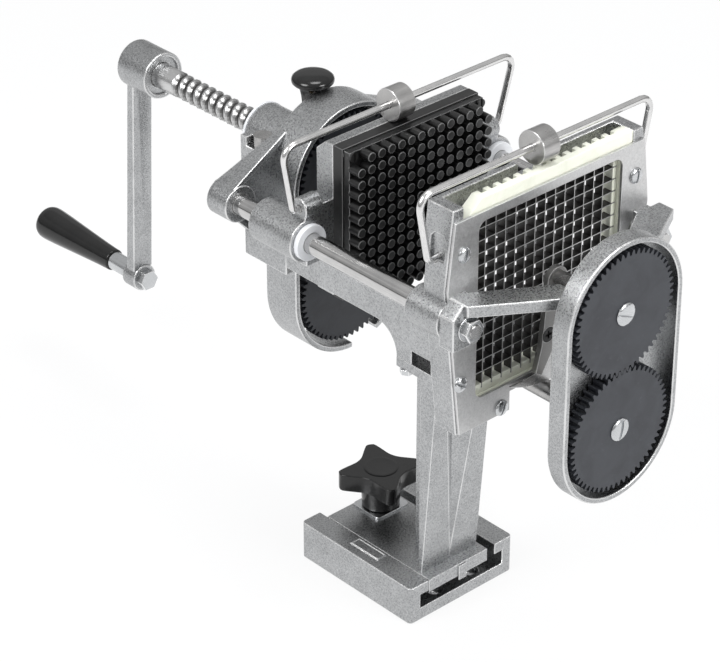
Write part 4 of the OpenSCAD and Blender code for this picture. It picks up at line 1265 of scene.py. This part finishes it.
@dataclass
class GearTrain:
    """The two gear casings, four gears, shafts and knife.

    Attributes:
        gear_y: Front of the front gears, in millimetres.
        screw_r: Radius of the gears' screw heads.
        screw_h: Height of their domes.
        screw_slot: Width of their slots.
        screws: CAD node, body, height and slot's angle of each screw.
    """

    gear_y: float = -178.3
    screw_r: float = 7.4
    screw_h: float = 2.4
    screw_slot: float = 2.2
    screws: Sequence[tuple[str, str, float, float]] = (
        ("upper_gear_screw", "cutter", 265.9, -66.0),
        ("lower_gear_screw", "lay_gears", 188.06, 10.0),
    )

    def build(self, shop: Workshop) -> None:
        """Builds and dresses the gear train.

        Args:
            shop: Dresses the pieces.
        """
        shop.rounded("rear_casing", "stand", CAST, 0.8)
        shop.rounded("front_casing", "stand", CAST, 0.8)
        shop.keep(GEAR, "rear_upper_gear", "rear_lower_gear", "front_lower_gear", "front_upper_gear")
        first = slotted_head("gear_screw", self.screw_r, self.screw_h, self.screw_slot)
        for node, body, z, turn in self.screws:
            shop.mount(copy_moved(first, node + "_head", (0, self.gear_y, z), turn), body, ZINC, node)
        bpy.data.objects.remove(first)
        shop.keep(SCREW, "lay_shaft", "knife_shaft", "drive_key")
        shop.keep(BRONZE, "shaft_bushes")
        shop.rounded("knife_arm", "cutter", KNIFE, 0.3)
        shop.rounded("knife_blade", "cutter", BLADE, 0.2)
        shop.keep(OXIDE, "knife_screw")


@dataclass
class Studio:
    """The floor, lamps, world and camera.

    Attributes:
        eye: The camera's place, in metres.
        right: Unit vector to the picture's right.
        up: Unit vector to the picture's top.
        ahead: Unit vector of the view.
        lens: Focal length for a 36 mm sensor, in millimetres.
        lamps: Name, place, size in metres and power in watts of each lamp.
        aim: Where the lamps point, in metres.
        sky: Height share and lightness of each band of the reflected dome.
        dome_tint: Colour of the dome's light on matt faces.
        paper: Lightness of the floor.
        paper_glow: How much of the floor shows as plain white.
    """

    eye: Point = (-1.0913, -1.1485, 1.1281)
    right: Point = (0.7379, -0.6749, 0.0)
    up: Point = (0.3478, 0.3803, 0.8570)
    ahead: Point = (0.5785, 0.6324, -0.5154)
    lens: float = 148.98
    lamps: Sequence[tuple[str, Point, float, float]] = (
        ("key_lamp", (-1.4, 0.2, 1.5), 1.0, 20.0),
        ("fill_lamp", (0.3, -1.7, 1.1), 0.9, 20.0),
        ("top_lamp", (0.2, 0.0, 2.0), 0.8, 10.0),
    )
    aim: Point = (0.0, 0.0, 0.2)
    sky: Profile = (
        (0.0, 0.20), (0.10, 0.16), (0.18, 0.45), (0.30, 0.42), (0.42, 0.50),
        (0.54, 0.62), (0.64, 0.44), (0.76, 0.60), (0.86, 0.62), (1.0, 0.5),
    )
    dome_tint: Colour = (0.62, 0.63, 0.65)
    paper: float = 0.86
    paper_glow: float = 0.84

    def build(self) -> None:
        """Makes the world, the floor, the lamps and the camera."""
        self.world()
        self.floor()
        for name, place, size, power in self.lamps:
            data = bpy.data.lights.new(name, "AREA")
            data.shape, data.size, data.energy = "DISK", size, power
            lamp = bpy.data.objects.new(name, data)
            bpy.context.scene.collection.objects.link(lamp)
            turn = (Vector(place) - Vector(self.aim)).to_track_quat("Z", "Y")
            lamp.matrix_world = Matrix.Translation(place) @ turn.to_matrix().to_4x4()
        self.camera()
        bpy.context.scene.view_settings.view_transform = "Standard"

    def camera(self) -> None:
        """Sets the camera as fitted to the photo."""
        data = bpy.data.cameras.new("camera")
        data.lens, data.sensor_width = self.lens, 36.0
        data.clip_start, data.clip_end = 0.05, 50.0
        camera = bpy.data.objects.new("camera", data)
        bpy.context.scene.collection.objects.link(camera)
        columns = (self.right, self.up, [-value for value in self.ahead], self.eye)
        rows = [[column[row] for column in columns] for row in range(3)]
        camera.matrix_world = Matrix([*rows, [0, 0, 0, 1]])
        bpy.context.scene.camera = camera

    def world(self) -> None:
        """Lights the object from a dome that shows white, and banded grey in reflections."""
        world = bpy.data.worlds.new("studio")
        bpy.context.scene.world = world
        world.use_nodes = True
        tree = world.node_tree
        tree.nodes.clear()
        ways = add_node(tree, "TexCoord").outputs["Generated"]
        height = add_node(tree, "SeparateXYZ", {0: ways}).outputs["Z"]
        ramp = add_node(tree, "ValToRGB", {"Fac": height})
        stops = ramp.color_ramp.elements
        while len(stops) < len(self.sky):
            stops.new(0.5)
        for stop, (place, level) in zip(stops, self.sky):
            stop.position = place
            stop.color = (level, level, level, 1.0)
        path = add_node(tree, "LightPath").outputs
        dome, glow, white = (
            add_node(tree, "Background", {"Color": colour, "Strength": 1.0}).outputs[0]
            for colour in ((*self.dome_tint, 1.0), ramp.outputs["Color"], WHITE)
        )
        shiny = add_node(tree, "MixShader", {0: path["Is Glossy Ray"], 1: dome, 2: glow}).outputs[0]
        seen = add_node(tree, "MixShader", {0: path["Is Camera Ray"], 1: shiny, 2: white}).outputs[0]
        add_node(tree, "OutputWorld", {"Surface": seen})

    def floor(self) -> None:
        """Lays the pale floor, which shows white and keeps the object's shadow."""
        bpy.ops.mesh.primitive_plane_add(size=16, location=(0, 0, -0.0004))
        floor = settle(bpy.context.object, "floor")
        made = bpy.data.materials.new("pale_floor")
        made.use_nodes = True
        tree = made.node_tree
        tree.nodes.clear()
        path = add_node(tree, "LightPath").outputs
        rays = {0: path["Is Camera Ray"], 1: path["Is Glossy Ray"]}
        seen = add_node(tree, "Math", rays, operation="ADD", use_clamp=True).outputs[0]
        share = add_node(tree, "Math", {0: seen, 1: self.paper_glow}, operation="MULTIPLY").outputs[0]
        colour = (self.paper, self.paper, self.paper, 1.0)
        paper = add_node(tree, "BsdfDiffuse", {"Color": colour}).outputs[0]
        glow = add_node(tree, "Emission", {"Color": WHITE, "Strength": 1.0}).outputs[0]
        mixed = add_node(tree, "MixShader", {0: share, 1: paper, 2: glow}).outputs[0]
        add_node(tree, "OutputMaterial", {"Surface": mixed})
        floor.data.materials.append(made)


def main() -> None:
    """Builds the studio and every sub-assembly."""
    logging.basicConfig(level=logging.INFO, format="%(name)s: %(message)s")
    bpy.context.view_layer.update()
    Studio().build()
    shop = Workshop()
    for part in (Stand(), Head(), Guide(), Pusher(), Feed(), Crank(), GearTrain()):
        part.build(shop)
        LOG.info("finished %s", type(part).__name__)


if __name__ == "__main__":
    main()
